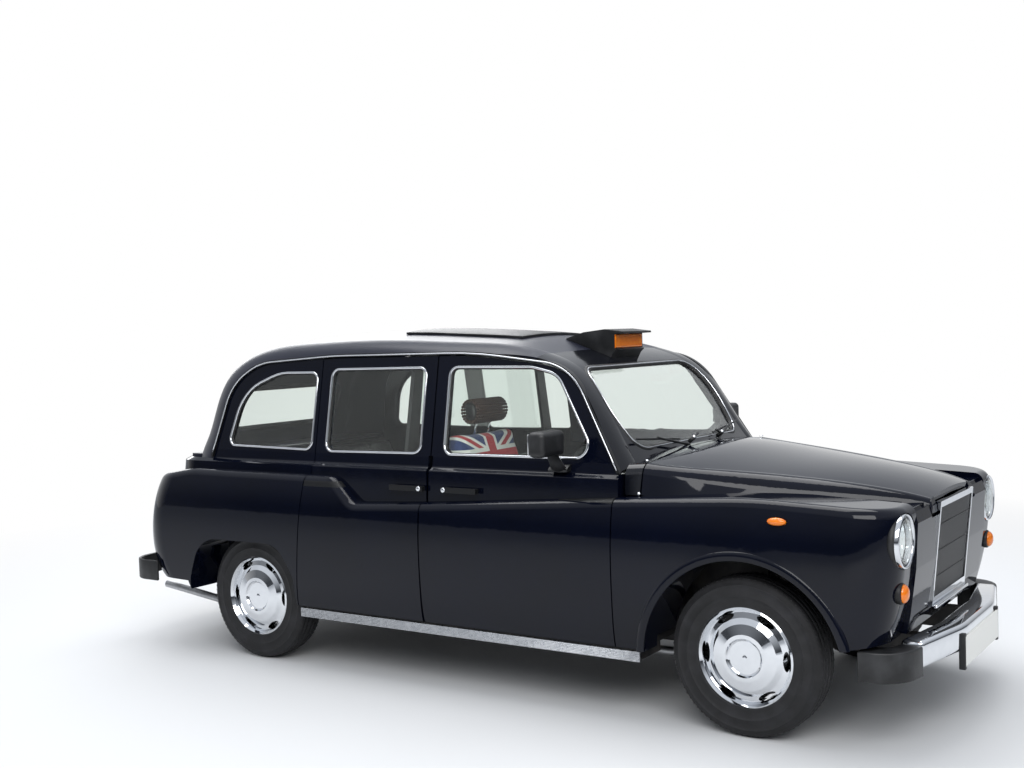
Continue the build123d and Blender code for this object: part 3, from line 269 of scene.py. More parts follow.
# Moulded plastic, rubber and padding: dull black, a pebbled grain and pale dust in patches
pale_dust = (9.0, 5.0, 0.45, 0.9)
black_plastic, seal, dash = (
    two_tone(name, code, "3a3b3d", pale_dust, PEBBLES, 1000.0 / grain_mm, depth, 0.0004, Roughness=rough)
    for name, code, grain_mm, depth, rough in (
        ("black moulded plastic", "0c0d0f", 1.2, 0.3, 0.45),
        ("black rubber seal", "0c0c0d", 1.0, 0.15, 0.55),
        ("dash padding", "161618", 2.0, 0.12, 0.5),
    )
)
# Moulded acrylic lenses: deep clear colour that glows a little, with ribs 8 to 10 mm apart on the face
glow = {"Coat_Weight": 0.5, "Subsurface_Weight": 0.25, "Subsurface_Radius": (0.006, 0.003, 0.001)}
amber, red = (
    two_tone(name, code, edge, (40.0, 3.0), RIBS, scale, 0.3, 0.0008, Roughness=0.12, **glow)
    for name, code, edge, scale in (
        ("amber acrylic lens", "f08a12", "d96400", 31.831),
        ("red acrylic lens", "8c0a06", "5c0403", 39.7886),
    )
)
tail_lens = banded(red)
# Vulcanised rubber: dull black with road dust in patches
road_dust = (14.0, 6.0, 0.45, 0.85)
rubber = two_tone("tyre rubber", "141416", "26262a", road_dust, GRIT, 700.0, 0.15, 0.0004, Roughness=0.72)
# Paint brushed over pressed steel and over cast iron: dull, with brown dust in patches
brown_dust = (12.0, 6.0, 0.4, 0.8)
chassis, iron = (
    two_tone(name, code, "3b3733", brown_dust, GRIT, 260.0, 0.25, 0.0006, Roughness=rough)
    for name, code, rough in (("black chassis paint", "101011", 0.5), ("cast iron block", "3a3b3d", 0.62))
)
# Coated cloth: a low shine over creases about 3 mm apart, which stand in for the grain on the beads' wood
trim_cloth, seat_cloth, bead_wood = (
    two_tone(name, code, dark, (9.0, 4.0), CREASES, 300.0, 0.35, 0.0006, Roughness=0.42)
    for name, code, dark in (
        ("door trim leathercloth", "17171a", "0f0f11"),
        ("dark seat leathercloth", "1b1b1e", "121214"),
        ("turned beech beads, stained brown", "4a2f22", "2f1c14"),
    )
)
carpet = loop_carpet()
plate = blank_plate()
door_skin = masked("door enamel with trim", enamel, "121315", 0.5, on_pull_handle)
rail_and_strip = masked("black rail and bright sill strip", bright, "0b0b0d", 0.35, above_sill)
# The grille's bars inside the bright surround are made dark, dull and unplated
grille_metal = masked("chromed grille with black bars", chrome, "0c0d10", 0.3, between_surrounds)

FINISHES = (
    (roof_skin, "body_shell"),
    (enamel, "front_wing_left front_wing_right rear_quarter_left rear_quarter_right"),
    (enamel, "nose_panel bonnet boot_lid"),
    (door_skin, "front_door_left front_door_right rear_door_left rear_door_right"),
    (grille_metal, "grille"),
    (rail_and_strip, "side_trims"),
    (bright, "front_bumper rear_bumper"),
    (black_plastic, "bumper_caps roof_fittings wipers mirror_left mirror_right"),
    (plate, "number_plates"),
    (chrome, "headlamps wheel_front_left wheel_front_right wheel_rear_left wheel_rear_right"),
    (amber, "amber_lamps roof_sign_lens"),
    (tail_lens, "tail_lamps"),
    (iron, "engine_block knuckle_left knuckle_right"),
    (chassis, "chassis_frame floor_pan front_suspension rear_axle"),
    (steel, "exhaust"),
    (dash, "dashboard partition steering_wheel"),
    (seat_cloth, "drivers_seat rear_seat tip_up_seat_left tip_up_seat_right"),
    (rubber, "tyre_front_left tyre_front_right tyre_rear_left tyre_rear_right"),
    (glass, "fixed_glass partition_glass front_door_glass_left front_door_glass_right"),
    (glass, "rear_door_glass_left rear_door_glass_right"),
)
for finish, names in FINISHES:
    for name in names.split():
        nodes[name].data.materials.clear()
        nodes[name].data.materials.append(finish)


# Making pieces
def shown(name, mesh):
    """An object at the origin that shows a mesh."""
    piece = bpy.data.objects.new(name, mesh)
    scene.collection.objects.link(piece)
    return piece


def as_piece(name, shape, finish):
    """A smooth piece from a bmesh, which is used up."""
    mesh = bpy.data.meshes.new(name)
    shape.to_mesh(mesh)
    shape.free()
    mesh.shade_smooth()
    mesh.materials.append(finish)
    return shown(name, mesh)


def closed_form(name, verts, faces, finish):
    """A piece from points and faces, its doubles merged and its faces turned outwards."""
    loose = bpy.data.meshes.new(name)
    loose.from_pydata([tuple(v) for v in verts], [], faces)
    shape = bmesh.new()
    shape.from_mesh(loose)
    bpy.data.meshes.remove(loose)
    bmesh.ops.remove_doubles(shape, verts=shape.verts, dist=1e-5)
    bmesh.ops.recalc_face_normals(shape, faces=shape.faces)
    return as_piece(name, shape, finish)


def merge(name, pieces):
    """Several pieces made one, each keeping its finish."""
    bpy.context.view_layer.update()
    whole = bmesh.new()
    finishes = []
    for piece in pieces:
        slots = []
        for finish in piece.data.materials:
            if finish not in finishes:
                finishes.append(finish)
            slots.append(finishes.index(finish))
        for face in piece.data.polygons:
            face.material_index = slots[face.material_index]
        whole.from_mesh(piece.data)
        bpy.data.objects.remove(piece)
    mesh = bpy.data.meshes.new(name)
    whole.to_mesh(mesh)
    whole.free()
    for finish in finishes:
        mesh.materials.append(finish)
    return shown(name, mesh)


def place(piece, body, node=None):
    """A finished piece carried by its body, in place of a node if one is named."""
    if node:
        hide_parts(node)
    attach(piece, body)


def settled(piece):
    """The mesh that a piece has with its modifiers applied."""
    graph = bpy.context.evaluated_depsgraph_get()
    return bpy.data.meshes.new_from_object(piece.evaluated_get(graph))


def rounded(points, radii, step=9):
    """A closed outline with rounded corners, as a list of 2-D points, an arc's points step degrees apart."""
    path = []
    count = len(points)
    for i, point in enumerate(points):
        here = Vector(point)
        back = (Vector(points[i - 1]) - here).normalized()
        on = (Vector(points[(i + 1) % count]) - here).normalized()
        radius = radii[i]
        if radius <= 0:
            path.append(here)
            continue
        half = back.angle(on) / 2
        reach = radius / tan(half)
        centre = here + (back + on).normalized() * radius / sin(half)
        first, last = here + back * reach - centre, here + on * reach - centre
        sweep = first.angle_signed(last)
        turns = max(3, int(abs(sweep) / radians(step)))
        for k in range(turns + 1):
            path.append(centre + Matrix.Rotation(-sweep * k / turns, 2) @ first)
    return path


def skinned(name, rings, finish, closed=False):
    """A piece skinned over rings of points, with flat ends unless it closes on itself."""
    count, size = len(rings), len(rings[0])
    faces = []
    for i in range(count if closed else count - 1):
        here, there = i * size, (i + 1) % count * size
        for k in range(size):
            on = (k + 1) % size
            faces.append((here + k, here + on, there + on, there + k))
    if not closed:
        faces.append(tuple(range(size)))
        faces.append(tuple((count - 1) * size + k for k in reversed(range(size))))
    return closed_form(name, [point for ring in rings for point in ring], faces, finish)


def swept(name, path, normals, profile, finish, closed=True):
    """A profile (across, out) carried along a path, out being along the normal at each point."""
    rings = []
    n = len(path)
    for i in range(n):
        before = path[i - 1] if closed or i > 0 else path[i]
        after = path[(i + 1) % n] if closed or i < n - 1 else path[i]
        across = (after - before).normalized().cross(normals[i]).normalized()
        rings.append([path[i] + across * shift + normals[i] * out for shift, out in profile])
    return skinned(name, rings, finish, closed)


def lathe(name, profile, finish, centre, axis, steps=96):
    """A profile of (radius, height) turned about an axis."""
    turn = Vector(axis).normalized().to_track_quat("Z", "Y").to_matrix()
    verts, faces = [], []
    m = len(profile)
    for i in range(steps):
        angle = 2 * pi * i / steps
        for r, h in profile:
            verts.append(Vector(centre) + turn @ Vector((r * cos(angle), r * sin(angle), h)))
        j = (i + 1) % steps
        for k in range(m - 1):
            faces.append((i * m + k, j * m + k, j * m + k + 1, i * m + k + 1))
    return closed_form(name, verts, faces, finish)


def half_round(width, height, steps=6, sunk=0.002):
    """A half-round bead's cross-section, its flat back a little below the surface."""
    arc = [(width / 2 * cos(pi * k / steps), height * sin(pi * k / steps)) for k in range(steps + 1)]
    return arc + [(-width / 2, -sunk), (width / 2, -sunk)]


def bar_between(name, first, second, radius, finish, sides=14):
    """A round bar with closed ends."""
    way = Vector(second) - Vector(first)
    profile = [(0, 0), (radius, 0), (radius, way.length), (0, way.length)]
    return lathe(name, profile, finish, first, way, sides)


def soften(shape, edges, width, segments=4):
    """A bmesh's edges rounded over to a width."""
    bmesh.ops.bevel(
        shape, geom=edges, offset=width, segments=segments, affect="EDGES", profile=0.5, clamp_overlap=True
    )


def block(name, one, other, finish, edge=0.004, segments=3):
    """A block with rounded edges between two opposite corners."""
    low = Vector([min(pair) for pair in zip(one, other)])
    high = Vector([max(pair) for pair in zip(one, other)])
    middle, size = (low + high) / 2, high - low
    shape = bmesh.new()
    bmesh.ops.create_cube(shape, size=1.0)
    for vert in shape.verts:
        vert.co = middle + Vector((vert.co.x * size.x, vert.co.y * size.y, vert.co.z * size.z))
    soften(shape, shape.edges[:], edge, segments)
    return as_piece(name, shape, finish)


def oval_lens(name, centre, way, half_length, half_height, rise, finish):
    """A domed oval standing off a surface."""
    levels, steps, pole = 7, 48, 0.02
    way = Vector(way).normalized()
    along = Vector((1, 0, 0)) if abs(way.y) > 0.5 else Vector((0, 1, 0))
    up = way.cross(along)
    rings = []
    for level in range(levels + 1):
        lift = way * rise * sin(pi / 2 * level / levels)
        spread = cos(pi / 2 * level / levels) if level < levels else pole
        ring = []
        for step in range(steps):
            angle = 2 * pi * step / steps
            flat = along * half_length * cos(angle) + up * half_height * sin(angle)
            ring.append(Vector(centre) + flat * spread + lift)
        rings.append(ring)
    return skinned(name, rings, finish)


def surface_of(name):
    """A search tree over a CAD node's surface."""
    shape = bmesh.new()
    shape.from_mesh(nodes[name].data)
    tree = BVHTree.FromBMesh(shape)
    shape.free()
    return tree


# Repeats: one tree that sets a unit out along a step and a turn about the axle's direction
def repeat_tree():
    """Geometry nodes: Count copies of Unit, each a Step and a Turn on from the last, moved to Place."""
    tree = bpy.data.node_groups.new("repeat unit", "GeometryNodeTree")
    for name, kind in (
        ("Count", "Int"),
        ("Step", "Vector"),
        ("Turn", "Float"),
        ("Place", "Vector"),
        ("Unit", "Object"),
        ("Finish", "Material"),
    ):
        tree.interface.new_socket(name, in_out="INPUT", socket_type="NodeSocket" + kind)
    tree.interface.new_socket("Geometry", in_out="OUTPUT", socket_type="NodeSocketGeometry")
    given = add(tree, "NodeGroupInput").node.outputs
    row = add(tree, "GeometryNodeMeshLine", Count=given["Count"], Offset=given["Step"])
    unit = add(tree, "GeometryNodeObjectInfo", out="Geometry", Object=given["Unit"])
    index = add(tree, "GeometryNodeInputIndex")
    turn = add(tree, MATH, PRODUCT, i0=index, i1=given["Turn"])
    spin = add(tree, "ShaderNodeCombineXYZ", Y=turn)
    copies = add(tree, "GeometryNodeInstanceOnPoints", Points=row, Instance=unit, Rotation=spin)
    real = add(tree, "GeometryNodeRealizeInstances", Geometry=copies)
    moved = add(tree, "GeometryNodeTransform", Geometry=real, Translation=given["Place"])
    done = add(tree, "GeometryNodeSetMaterial", Geometry=moved, Material=given["Finish"])
    add(tree, "NodeGroupOutput", Geometry=done)
    return tree


repeat = repeat_tree()


def repeated(name, unit, count, finish, step=(0, 0, 0), turn=0.0, at=(0, 0, 0)):
    """A plain mesh of a unit repeated by the tree. The unit is used up."""
    holder = shown(name + "_row", bpy.data.meshes.new(name))
    row = holder.modifiers.new("repeat", "NODES")
    row.node_group = repeat
    sizes = {"Count": count, "Step": step, "Turn": turn, "Place": at, "Unit": unit, "Finish": finish}
    for item in repeat.interface.items_tree:
        if item.in_out == "INPUT":
            row[item.identifier] = sizes[item.name]
    bpy.context.view_layer.update()
    mesh = settled(holder)
    mesh.name = name
    bpy.data.objects.remove(holder)
    bpy.data.objects.remove(unit)
    return shown(name, mesh)


# Window frames, on the cabin side that leans in above the waist
WAIST_Z, WAIST_Y = 1.12, 0.745
EAVES_Z, EAVES_Y = 1.625, 0.65
side_lean = (WAIST_Y - EAVES_Y) / (EAVES_Z - WAIST_Z)
rubber_channel = [(-0.01, 0.003), (0.01, 0.003), (0.01, -0.012), (-0.01, -0.012)]
# Each window's corners (x, z) and their radii
WINDOWS = {
    "quarter": (
        ((-1.518, 1.146), (-0.9, 1.134), (-0.9, 1.537), (-1.18, 1.537), (-1.44, 1.44)),
        (0.04, 0.045, 0.045, 0.33, 0.26),
    ),
    "rear_door": (
        ((-0.8, 1.13), (-0.178, 1.136), (-0.178, 1.555), (-0.8, 1.552)),
        (0.045, 0.045, 0.045, 0.045),
    ),
    "front_door": (
        ((-0.034, 1.135), (0.818, 1.139), (0.585, 1.518), (0.44, 1.552), (-0.034, 1.556)),
        (0.045, 0.062, 0.12, 0.2, 0.045),
    ),
}
for window, (points, radii) in WINDOWS.items():
    outline = rounded(points, radii)
    for hand, side in HANDS:
        outward = Vector((0, side, side_lean)).normalized()
        path = [Vector((p.x, side * (WAIST_Y - (p.y - WAIST_Z) * side_lean), p.y)) for p in outline]
        sunk_path = [point - outward * 0.006 for point in path]
        facing = [outward] * len(path)
        bead = swept(f"{window}_window_bead_{hand}", path, facing, half_round(0.013, 0.006), chrome)
        channel = swept(f"{window}_window_rubber_{hand}", sunk_path, facing, rubber_channel, seal)
        piece = merge(f"{window}_window_frame_{hand}", [bead, channel])
        place(piece, "car_body" if window == "quarter" else f"{window}_{hand}")

# Windscreen and rear window: rubber seals with a bright insert, found on the glass by lines from outside
SCREEN_LEAN = radians(38.3)
screen_out = Vector((cos(SCREEN_LEAN), 0, sin(SCREEN_LEAN)))
screen_up = Vector((-sin(SCREEN_LEAN), 0, cos(SCREEN_LEAN)))
screen_centre = Vector((0.85, 0, 1.345))
screen_outline = rounded(
    ((-0.54, -0.195), (-0.609, 0.05), (-0.535, 0.285), (0.535, 0.285), (0.609, 0.05), (0.54, -0.195)),
    (0.11, 0.5, 0.11, 0.11, 0.5, 0.11),
    5,
)
rear_outline = rounded(((-0.424, 1.196), (0.424, 1.196), (0.424, 1.434), (-0.424, 1.434)), (0.066,) * 4)
outside = screen_centre + screen_out * 0.2
screen_starts = [outside + Vector((0, p.x, 0)) + screen_up * p.y for p in screen_outline]
rear_starts = [Vector((-2.1, p.x, p.y)) for p in rear_outline]
glass_surface = surface_of("fixed_glass")
for name, starts, way in (
    ("windscreen_seal", screen_starts, -screen_out),
    ("rear_window_seal", rear_starts, Vector(FORWARD)),
):
    hits = [glass_surface.ray_cast(point, way)[0] for point in starts]
    path = [hit - way * 0.001 for hit in hits if hit is not None]
    facing = [-way] * len(path)
    raised = [point - way * 0.012 for point in path]
    gasket = swept(name + "_rubber", path, facing, half_round(0.034, 0.014), seal)
    insert = swept(name + "_insert", raised, facing, half_round(0.007, 0.004), chrome)
    place(merge(name, [gasket, insert]), "car_body")

# Tyres: a turned carcass, shoulder lugs and fine sipes between its grooves
AXLES = {
    "front_left": (1.525, 0.711),
    "front_right": (1.525, -0.711),
    "rear_left": (-1.285, 0.711),
    "rear_right": (-1.285, -0.711),
}
AXLE_HEIGHT = 0.338
TREAD_BLOCKS = 84
tread_turn = 2 * pi / TREAD_BLOCKS
TREAD_GROOVES = (0.046, 0.018, -0.018, -0.046)
GROOVE = ((0.0, 0.004), (0.008, 0.003), (0.008, -0.003), (0.0, -0.004))
SIPE_ROWS = (-0.032, 0.0, 0.032)
LUG_ROW = 0.0625
# Radius and half width from the rim's edge to the shoulder, with three raised rings on the wall
TYRE_WALL = (
    ((0.2035, 0.066), (0.204, 0.074), (0.212, 0.079))
    + ((0.214, 0.0815), (0.218, 0.0815), (0.22, 0.0805), (0.245, 0.086), (0.256, 0.0868))
    + ((0.257, 0.088), (0.26, 0.088), (0.261, 0.087), (0.285, 0.0862), (0.3, 0.0835))
    + ((0.301, 0.0848), (0.305, 0.0842), (0.306, 0.0822), (0.32, 0.076), (0.329, 0.068))
    + ((0.333, 0.06),)
)


def tyre_profile():
    """Radius and width round a tyre's cross-section, with side rings and tread grooves 8 mm deep."""
    crown = []
    for centre in TREAD_GROOVES:
        out = 0.3375 - 0.0045 * (centre / 0.06) ** 2
        crown += [(out - down, centre + half) for down, half in GROOVE]
    other = [(r, -h) for r, h in reversed(TYRE_WALL)]
    return list(TYRE_WALL) + crown + other + [TYRE_WALL[0]]


for corner, (axle_x, axle_y) in AXLES.items():
    hub = (axle_x, axle_y, AXLE_HEIGHT)
    parts = [lathe("carcass", tyre_profile(), rubber, hub, (0, 1, 0), 120)]
    for side in (-1, 1):
        row = side * LUG_ROW
        lug = block("lug", (-0.005, row - 0.007, 0.318), (0.005, row + 0.007, 0.3318), rubber, 0.002, 1)
        parts.append(repeated("lugs", lug, TREAD_BLOCKS, rubber, turn=tread_turn, at=hub))
    for row in SIPE_ROWS:
        sipe = block("sipe", (-0.0008, row - 0.0085, 0.33), (0.0008, row + 0.0085, 0.3379), seal, 0.0002, 1)
        parts.append(repeated("sipes", sipe, TREAD_BLOCKS, seal, turn=tread_turn, at=hub))
    tyre = merge(f"road_tyre_{corner}", parts)
    place(tyre, f"wheel_{corner}", f"tyre_{corner}")

# Headlamps: radius and distance ahead of the lamp's seat, for each turned part
LAMP_X, LAMP_Y, LAMP_Z = 2.06, 0.68, 0.85
LAMP_RIM = (
    ((0.0965, 0.094), (0.099, 0.106), (0.104, 0.1115), (0.1085, 0.106), (0.11, 0.094))
    + ((0.11, 0.06), (0.106, 0.06), (0.1, 0.085), (0.0965, 0.094))
)
LAMP_BOWL = (
    ((0.0985, 0.09), (0.09, 0.07), (0.072, 0.045), (0.05, 0.028), (0.025, 0.018), (0.0, 0.016))
    + ((0.0, 0.012), (0.03, 0.012), (0.06, 0.026), (0.085, 0.05), (0.1, 0.078), (0.0985, 0.09))
)
LAMP_CAP = ((0.0, 0.066), (0.01, 0.064), (0.0125, 0.058), (0.0125, 0.044), (0.0, 0.044))
LAMP_GASKET = ((0.1115, 0.06), (0.1115, 0.092), (0.1085, 0.092), (0.1085, 0.06), (0.1115, 0.06))
LAMP_DOME = (
    ((0.0, 0.12), (0.03, 0.1188), (0.06, 0.115), (0.085, 0.108), (0.0975, 0.101))
    + ((0.0975, 0.0975), (0.085, 0.1045), (0.06, 0.1115), (0.03, 0.1155), (0.0, 0.1168))
)
lamp_parts, glass_parts = [], []
for side in (1, -1):
    lamp = (LAMP_X, side * LAMP_Y, LAMP_Z)
    lamp_parts += [
        lathe("rim", LAMP_RIM, chrome, lamp, FORWARD),
        lathe("bowl", LAMP_BOWL, reflector, lamp, FORWARD),
        lathe("cap", LAMP_CAP, reflector, lamp, FORWARD, 24),
        lathe("gasket", LAMP_GASKET, seal, lamp, FORWARD),
    ]
    glass_parts.append(lathe("dome", LAMP_DOME, lamp_glass, lamp, FORWARD))
lamps = merge("headlamp_rims", lamp_parts)
place(lamps, "car_body", "headlamps")
place(merge("headlamp_glass", glass_parts), "car_body")

# Front indicators in their rubber bosses, and the wings' side repeaters
INDICATOR_Y, INDICATOR_Z = 0.7, 0.647
INDICATOR_BOSS = ((0.0, 0.0), (0.043, 0.0), (0.043, 0.034), (0.038, 0.04), (0.0, 0.04))
amber_parts = []
for side in (1, -1):
    row = side * INDICATOR_Y
    amber_parts += [
        lathe("boss", INDICATOR_BOSS, seal, (2.12, row, INDICATOR_Z), FORWARD, 48),
        oval_lens("flasher", (2.158, row, INDICATOR_Z), FORWARD, 0.038, 0.038, 0.023, amber),
        oval_lens("repeater", (1.704, side * 0.855, 0.926), (0, side, 0), 0.041, 0.0165, 0.0165, amber),
    ]
flashers = merge("flasher_lenses", amber_parts)
place(flashers, "car_body", "amber_lamps")

# Doors: handles' push buttons, trim cards with an armrest and a pocket, and the mirrors' glasses
BUTTON = ((0.0, 0.0), (0.0125, 0.0), (0.0125, 0.004), (0.01, 0.0065), (0.0, 0.007))
BUTTON_Y, BUTTON_Z = 0.8185, 0.972
CARD_OUT, CARD_IN, REST_IN, POCKET_IN, BEHIND_CARD = 0.7415, 0.729, 0.69, 0.712, 0.731
for hand, side in HANDS:
    for door, button_x in (("front_door", 0.012), ("rear_door", -0.138)):
        centre = (button_x, side * BUTTON_Y, BUTTON_Z)
        button = lathe(f"{door}_button_{hand}", BUTTON, chrome, centre, (0, side, 0), 32)
        place(button, f"{door}_{hand}")
    for door, low_x, high_x in (("front_door", -0.06, 0.88), ("rear_door", -0.84, -0.16)):
        middle = (low_x + high_x) / 2
        parts = []
        for label, half, inner, outer, low_z, high_z, edge in (
            ("card", (high_x - low_x) / 2, CARD_IN, CARD_OUT, 0.415, 0.845, 0.005),
            ("rest", 0.17, REST_IN, BEHIND_CARD, 0.69, 0.728, 0.012),
            ("pocket", 0.22, POCKET_IN, BEHIND_CARD, 0.44, 0.56, 0.008),
        ):
            low, high = (middle - half, side * inner, low_z), (middle + half, side * outer, high_z)
            parts.append(block(label, low, high, trim_cloth, edge))
        place(merge(f"{door}_trim_card_{hand}", parts), f"{door}_{hand}")
    one, other = (0.644, side * 0.872, 1.18), (0.649, side * 1.038, 1.268)
    place(block(f"mirror_glass_{hand}", one, other, reflector, 0.002), f"front_door_{hand}")

# Sill strips: ribs along the bright tread plate
SILL_Y, SILL_Z, RIB_PITCH = 0.8372, 0.279, 0.0068
for hand, side in HANDS:
    first, last = (-0.922, side * SILL_Y, SILL_Z), (1.057, side * SILL_Y, SILL_Z)
    rib = bar_between("rib", first, last, 0.0019, bright, 8)
    place(repeated(f"sill_ribs_{hand}", rib, 6, bright, step=(0, 0, RIB_PITCH)), "car_body")

# Grille: dark cross bars that follow its lean, backing and the bright lower lip
GRILLE_FOOT_X, GRILLE_FOOT_Z, GRILLE_LEAN = 2.15, 0.507, 0.045 / 0.448
grille_parts = []
for height in (0.63, 0.742, 0.854):
    front = GRILLE_FOOT_X + (height - GRILLE_FOOT_Z) * GRILLE_LEAN - 0.004
    low, high = (front - 0.006, -0.252, height - 0.002), (front, 0.252, height + 0.002)
    grille_parts.append(block("cross", low, high, seal, 0.001))
grille_parts.append(block("backing", (2.108, -0.262, 0.52), (2.114, 0.262, 0.905), seal, 0.002))
place(merge("grille_cross_bars", grille_parts), "car_body")
lip = block("grille_lip", (GRILLE_FOOT_X, -0.262, 0.5), (2.17, 0.262, 0.516), chrome, 0.006)
place(lip, "car_body")

# Drip rails: a thin bright bead pressed along each black rail, found on it by lines from the side
RAIL_POINTS = (
    ((-1.638, 1.05), (-1.528, 1.472), (-1.34, 1.59), (-0.8, 1.622))
    + ((0.1, 1.624), (0.655, 1.556), (0.958, 1.045))
)
RAIL_RADII = (0.0, 0.27, 0.39, 3.0, 2.5, 0.3, 0.0)
RAIL_END, POINT_PITCH = 1.06, 0.05
bent = rounded(RAIL_POINTS, RAIL_RADII, 3)
rail_line = []
for first, second in zip(bent, bent[1:]):
    count = max(1, int((second - first).length / POINT_PITCH))
    rail_line += [first.lerp(second, k / count) for k in range(count)]
rail_line.append(bent[-1])
trim_surface = surface_of("side_trims")
for hand, side in HANDS:
    outward = Vector((0, side, 0))
    path = []
    for point in rail_line:
        hit = trim_surface.ray_cast(Vector((point.x, side * 1.2, point.y)), -outward)[0]
        if hit is not None and point.y > RAIL_END:
            path.append(hit)
    profile = half_round(0.0075, 0.004)
    bead = swept(f"drip_rail_bead_{hand}", path, [outward] * len(path), profile, chrome, closed=False)
    place(bead, "car_body")


# Pressed and moulded pieces with their edges rolled over
def rolled(name, node, width, finish):
    """A node's own form with its sharp edges rounded to a width, in place of the node."""
    sharp_corner, shading_corner = radians(32), radians(28)
    shape = bmesh.new()
    shape.from_mesh(nodes[node].data)
    bmesh.ops.remove_doubles(shape, verts=shape.verts, dist=1e-5)
    bmesh.ops.dissolve_limit(shape, angle_limit=radians(1.0), verts=shape.verts, edges=shape.edges)
    sharp = [e for e in shape.edges if len(e.link_faces) == 2 and e.calc_face_angle() > sharp_corner]
    soften(shape, sharp, width)
    bmesh.ops.triangulate(shape, faces=[f for f in shape.faces if len(f.verts) > 4])
    piece = as_piece(name, shape, finish)
    piece.data.set_sharp_from_angle(angle=shading_corner)
    place(piece, "car_body", node)


rolled("rolled_front_bumper", "front_bumper", 0.02, chrome)
rolled("rolled_rear_bumper", "rear_bumper", 0.016, chrome)
rolled("moulded_bumper_caps", "bumper_caps", 0.022, black_plastic)
rolled("moulded_sign_and_roof_panel", "roof_fittings", 0.005, black_plastic)


# Upholstery: foam pads under stretched covers
def pad(points, low_y, high_y, radius, shrink, finish):
    """A block with rounded edges: a side outline (x, z) between two widths, made a little small."""
    shape = bmesh.new()
    middle = sum((Vector(p) for p in points), Vector((0, 0))) / len(points)
    rings = []
    for y in (low_y + shrink, high_y - shrink):
        ring = []
        for p in points:
            inward = (middle - Vector(p)).normalized() * shrink
            ring.append(shape.verts.new((p[0] + inward.x, y, p[1] + inward.y)))
        rings.append(ring)
    near, far = rings
    count = len(points)
    for k in range(count):
        on = (k + 1) % count
        shape.faces.new((near[k], near[on], far[on], far[k]))
    shape.faces.new(near)
    shape.faces.new(list(reversed(far)))
    soften(shape, shape.edges[:], radius)
    bmesh.ops.recalc_face_normals(shape, faces=shape.faces)
    return as_piece("pad", shape, finish)


def swell(piece, pressure, cap):
    """Blow a pad's cover up by cloth pressure, no point moving further than the cap."""
    frames = 20
    before = [v.co.copy() for v in piece.data.vertices]
    cloth = piece.modifiers.new("cover", "CLOTH")
    cloth.settings.use_pressure = True
    cloth.settings.uniform_pressure_force = pressure
    cloth.settings.effector_weights.gravity = 0.0
    cloth.settings.tension_stiffness = 12.0
    cloth.settings.bending_stiffness = 0.8
    cloth.point_cache.frame_start = 1
    cloth.point_cache.frame_end = frames
    for step in range(1, frames + 1):
        scene.frame_set(step)
    blown = settled(piece)
    piece.modifiers.remove(cloth)
    for vert, start_co, after in zip(piece.data.vertices, before, blown.vertices):
        move = after.co - start_co
        vert.co = start_co + (move if move.length <= cap else move.normalized() * cap)
    bpy.data.meshes.remove(blown)
    scene.frame_set(1)


def upholstered(name, forms, finish, voxel, cap, channels=()):
    """Pads of one cover: remeshed, swollen, sewn along channels of constant y, and smoothed."""
    pressure, channel_width, channel_depth = 4.0, 0.007, 0.007
    piece = merge(name, [pad(*form, 0.6 * cap, finish) for form in forms])
    remesh = piece.modifiers.new("even mesh", "REMESH")
    remesh.mode = "VOXEL"
    remesh.voxel_size = voxel
    even = settled(piece)
    piece.modifiers.clear()
    piece.data = even
    swell(piece, pressure, cap)
    normals = [v.normal.copy() for v in piece.data.vertices]
    for vert, outward in zip(piece.data.vertices, normals):
        dip = sum(exp(-(((vert.co.y - y) / channel_width) ** 2)) for y in channels)
        vert.co -= outward * min(dip, 1.0) * channel_depth
    finer = piece.modifiers.new("smooth cover", "SUBSURF")
    finer.levels = 1
    finer.render_levels = 1
    smooth = settled(piece)
    piece.modifiers.clear()
    piece.data = smooth
    smooth.shade_smooth()
    smooth.materials.clear()
    smooth.materials.append(finish)
    return piece


# Driver's seat: cushion, back and headrest, each an outline (x, z), its width and its edge radius
DRIVER_Y = -0.38
CUSHION_HALF, BACK_HALF, HEADREST_HALF = 0.25, 0.245, 0.14
cushion = ((-0.01, 0.54), (0.46, 0.545), (0.47, 0.66), (-0.02, 0.65))
backrest = ((0.02, 0.62), (0.1, 0.66), (-0.04, 1.215), (-0.12, 1.2))
headrest = ((-0.07, 1.272), (0.01, 1.28), (-0.01, 1.378), (-0.082, 1.372))
driver_pads = upholstered(
    "drivers_seat_pads",
    (
        (cushion, DRIVER_Y - CUSHION_HALF, DRIVER_Y + CUSHION_HALF, 0.028),
        (backrest, DRIVER_Y - BACK_HALF, DRIVER_Y + BACK_HALF, 0.028),
        (headrest, DRIVER_Y - HEADREST_HALF, DRIVER_Y + HEADREST_HALF, 0.022),
    ),
    seat_cloth,
    0.01,
    0.01,
    (DRIVER_Y - 0.15, DRIVER_Y + 0.15),
)
place(driver_pads, "car_body", "drivers_seat")
FLOOR_TOP = 0.372
base_low, base_high = (0.04, DRIVER_Y - 0.2, FLOOR_TOP), (0.4, DRIVER_Y + 0.2, 0.545)
seat_frame = [block("base", base_low, base_high, chassis, 0.008)]
for shift in (-0.06, 0.06):
    post_y, runner_y = DRIVER_Y + shift, DRIVER_Y + shift * 3
    foot, head = (-0.07, post_y, 1.18), (-0.042, post_y, 1.29)
    seat_frame.append(bar_between("post", foot, head, 0.006, chrome))
    low, high = (-0.02, runner_y - 0.012, FLOOR_TOP), (0.44, runner_y + 0.012, 0.392)
    seat_frame.append(block("runner", low, high, steel, 0.003))
place(merge("drivers_seat_frame", seat_frame), "car_body")


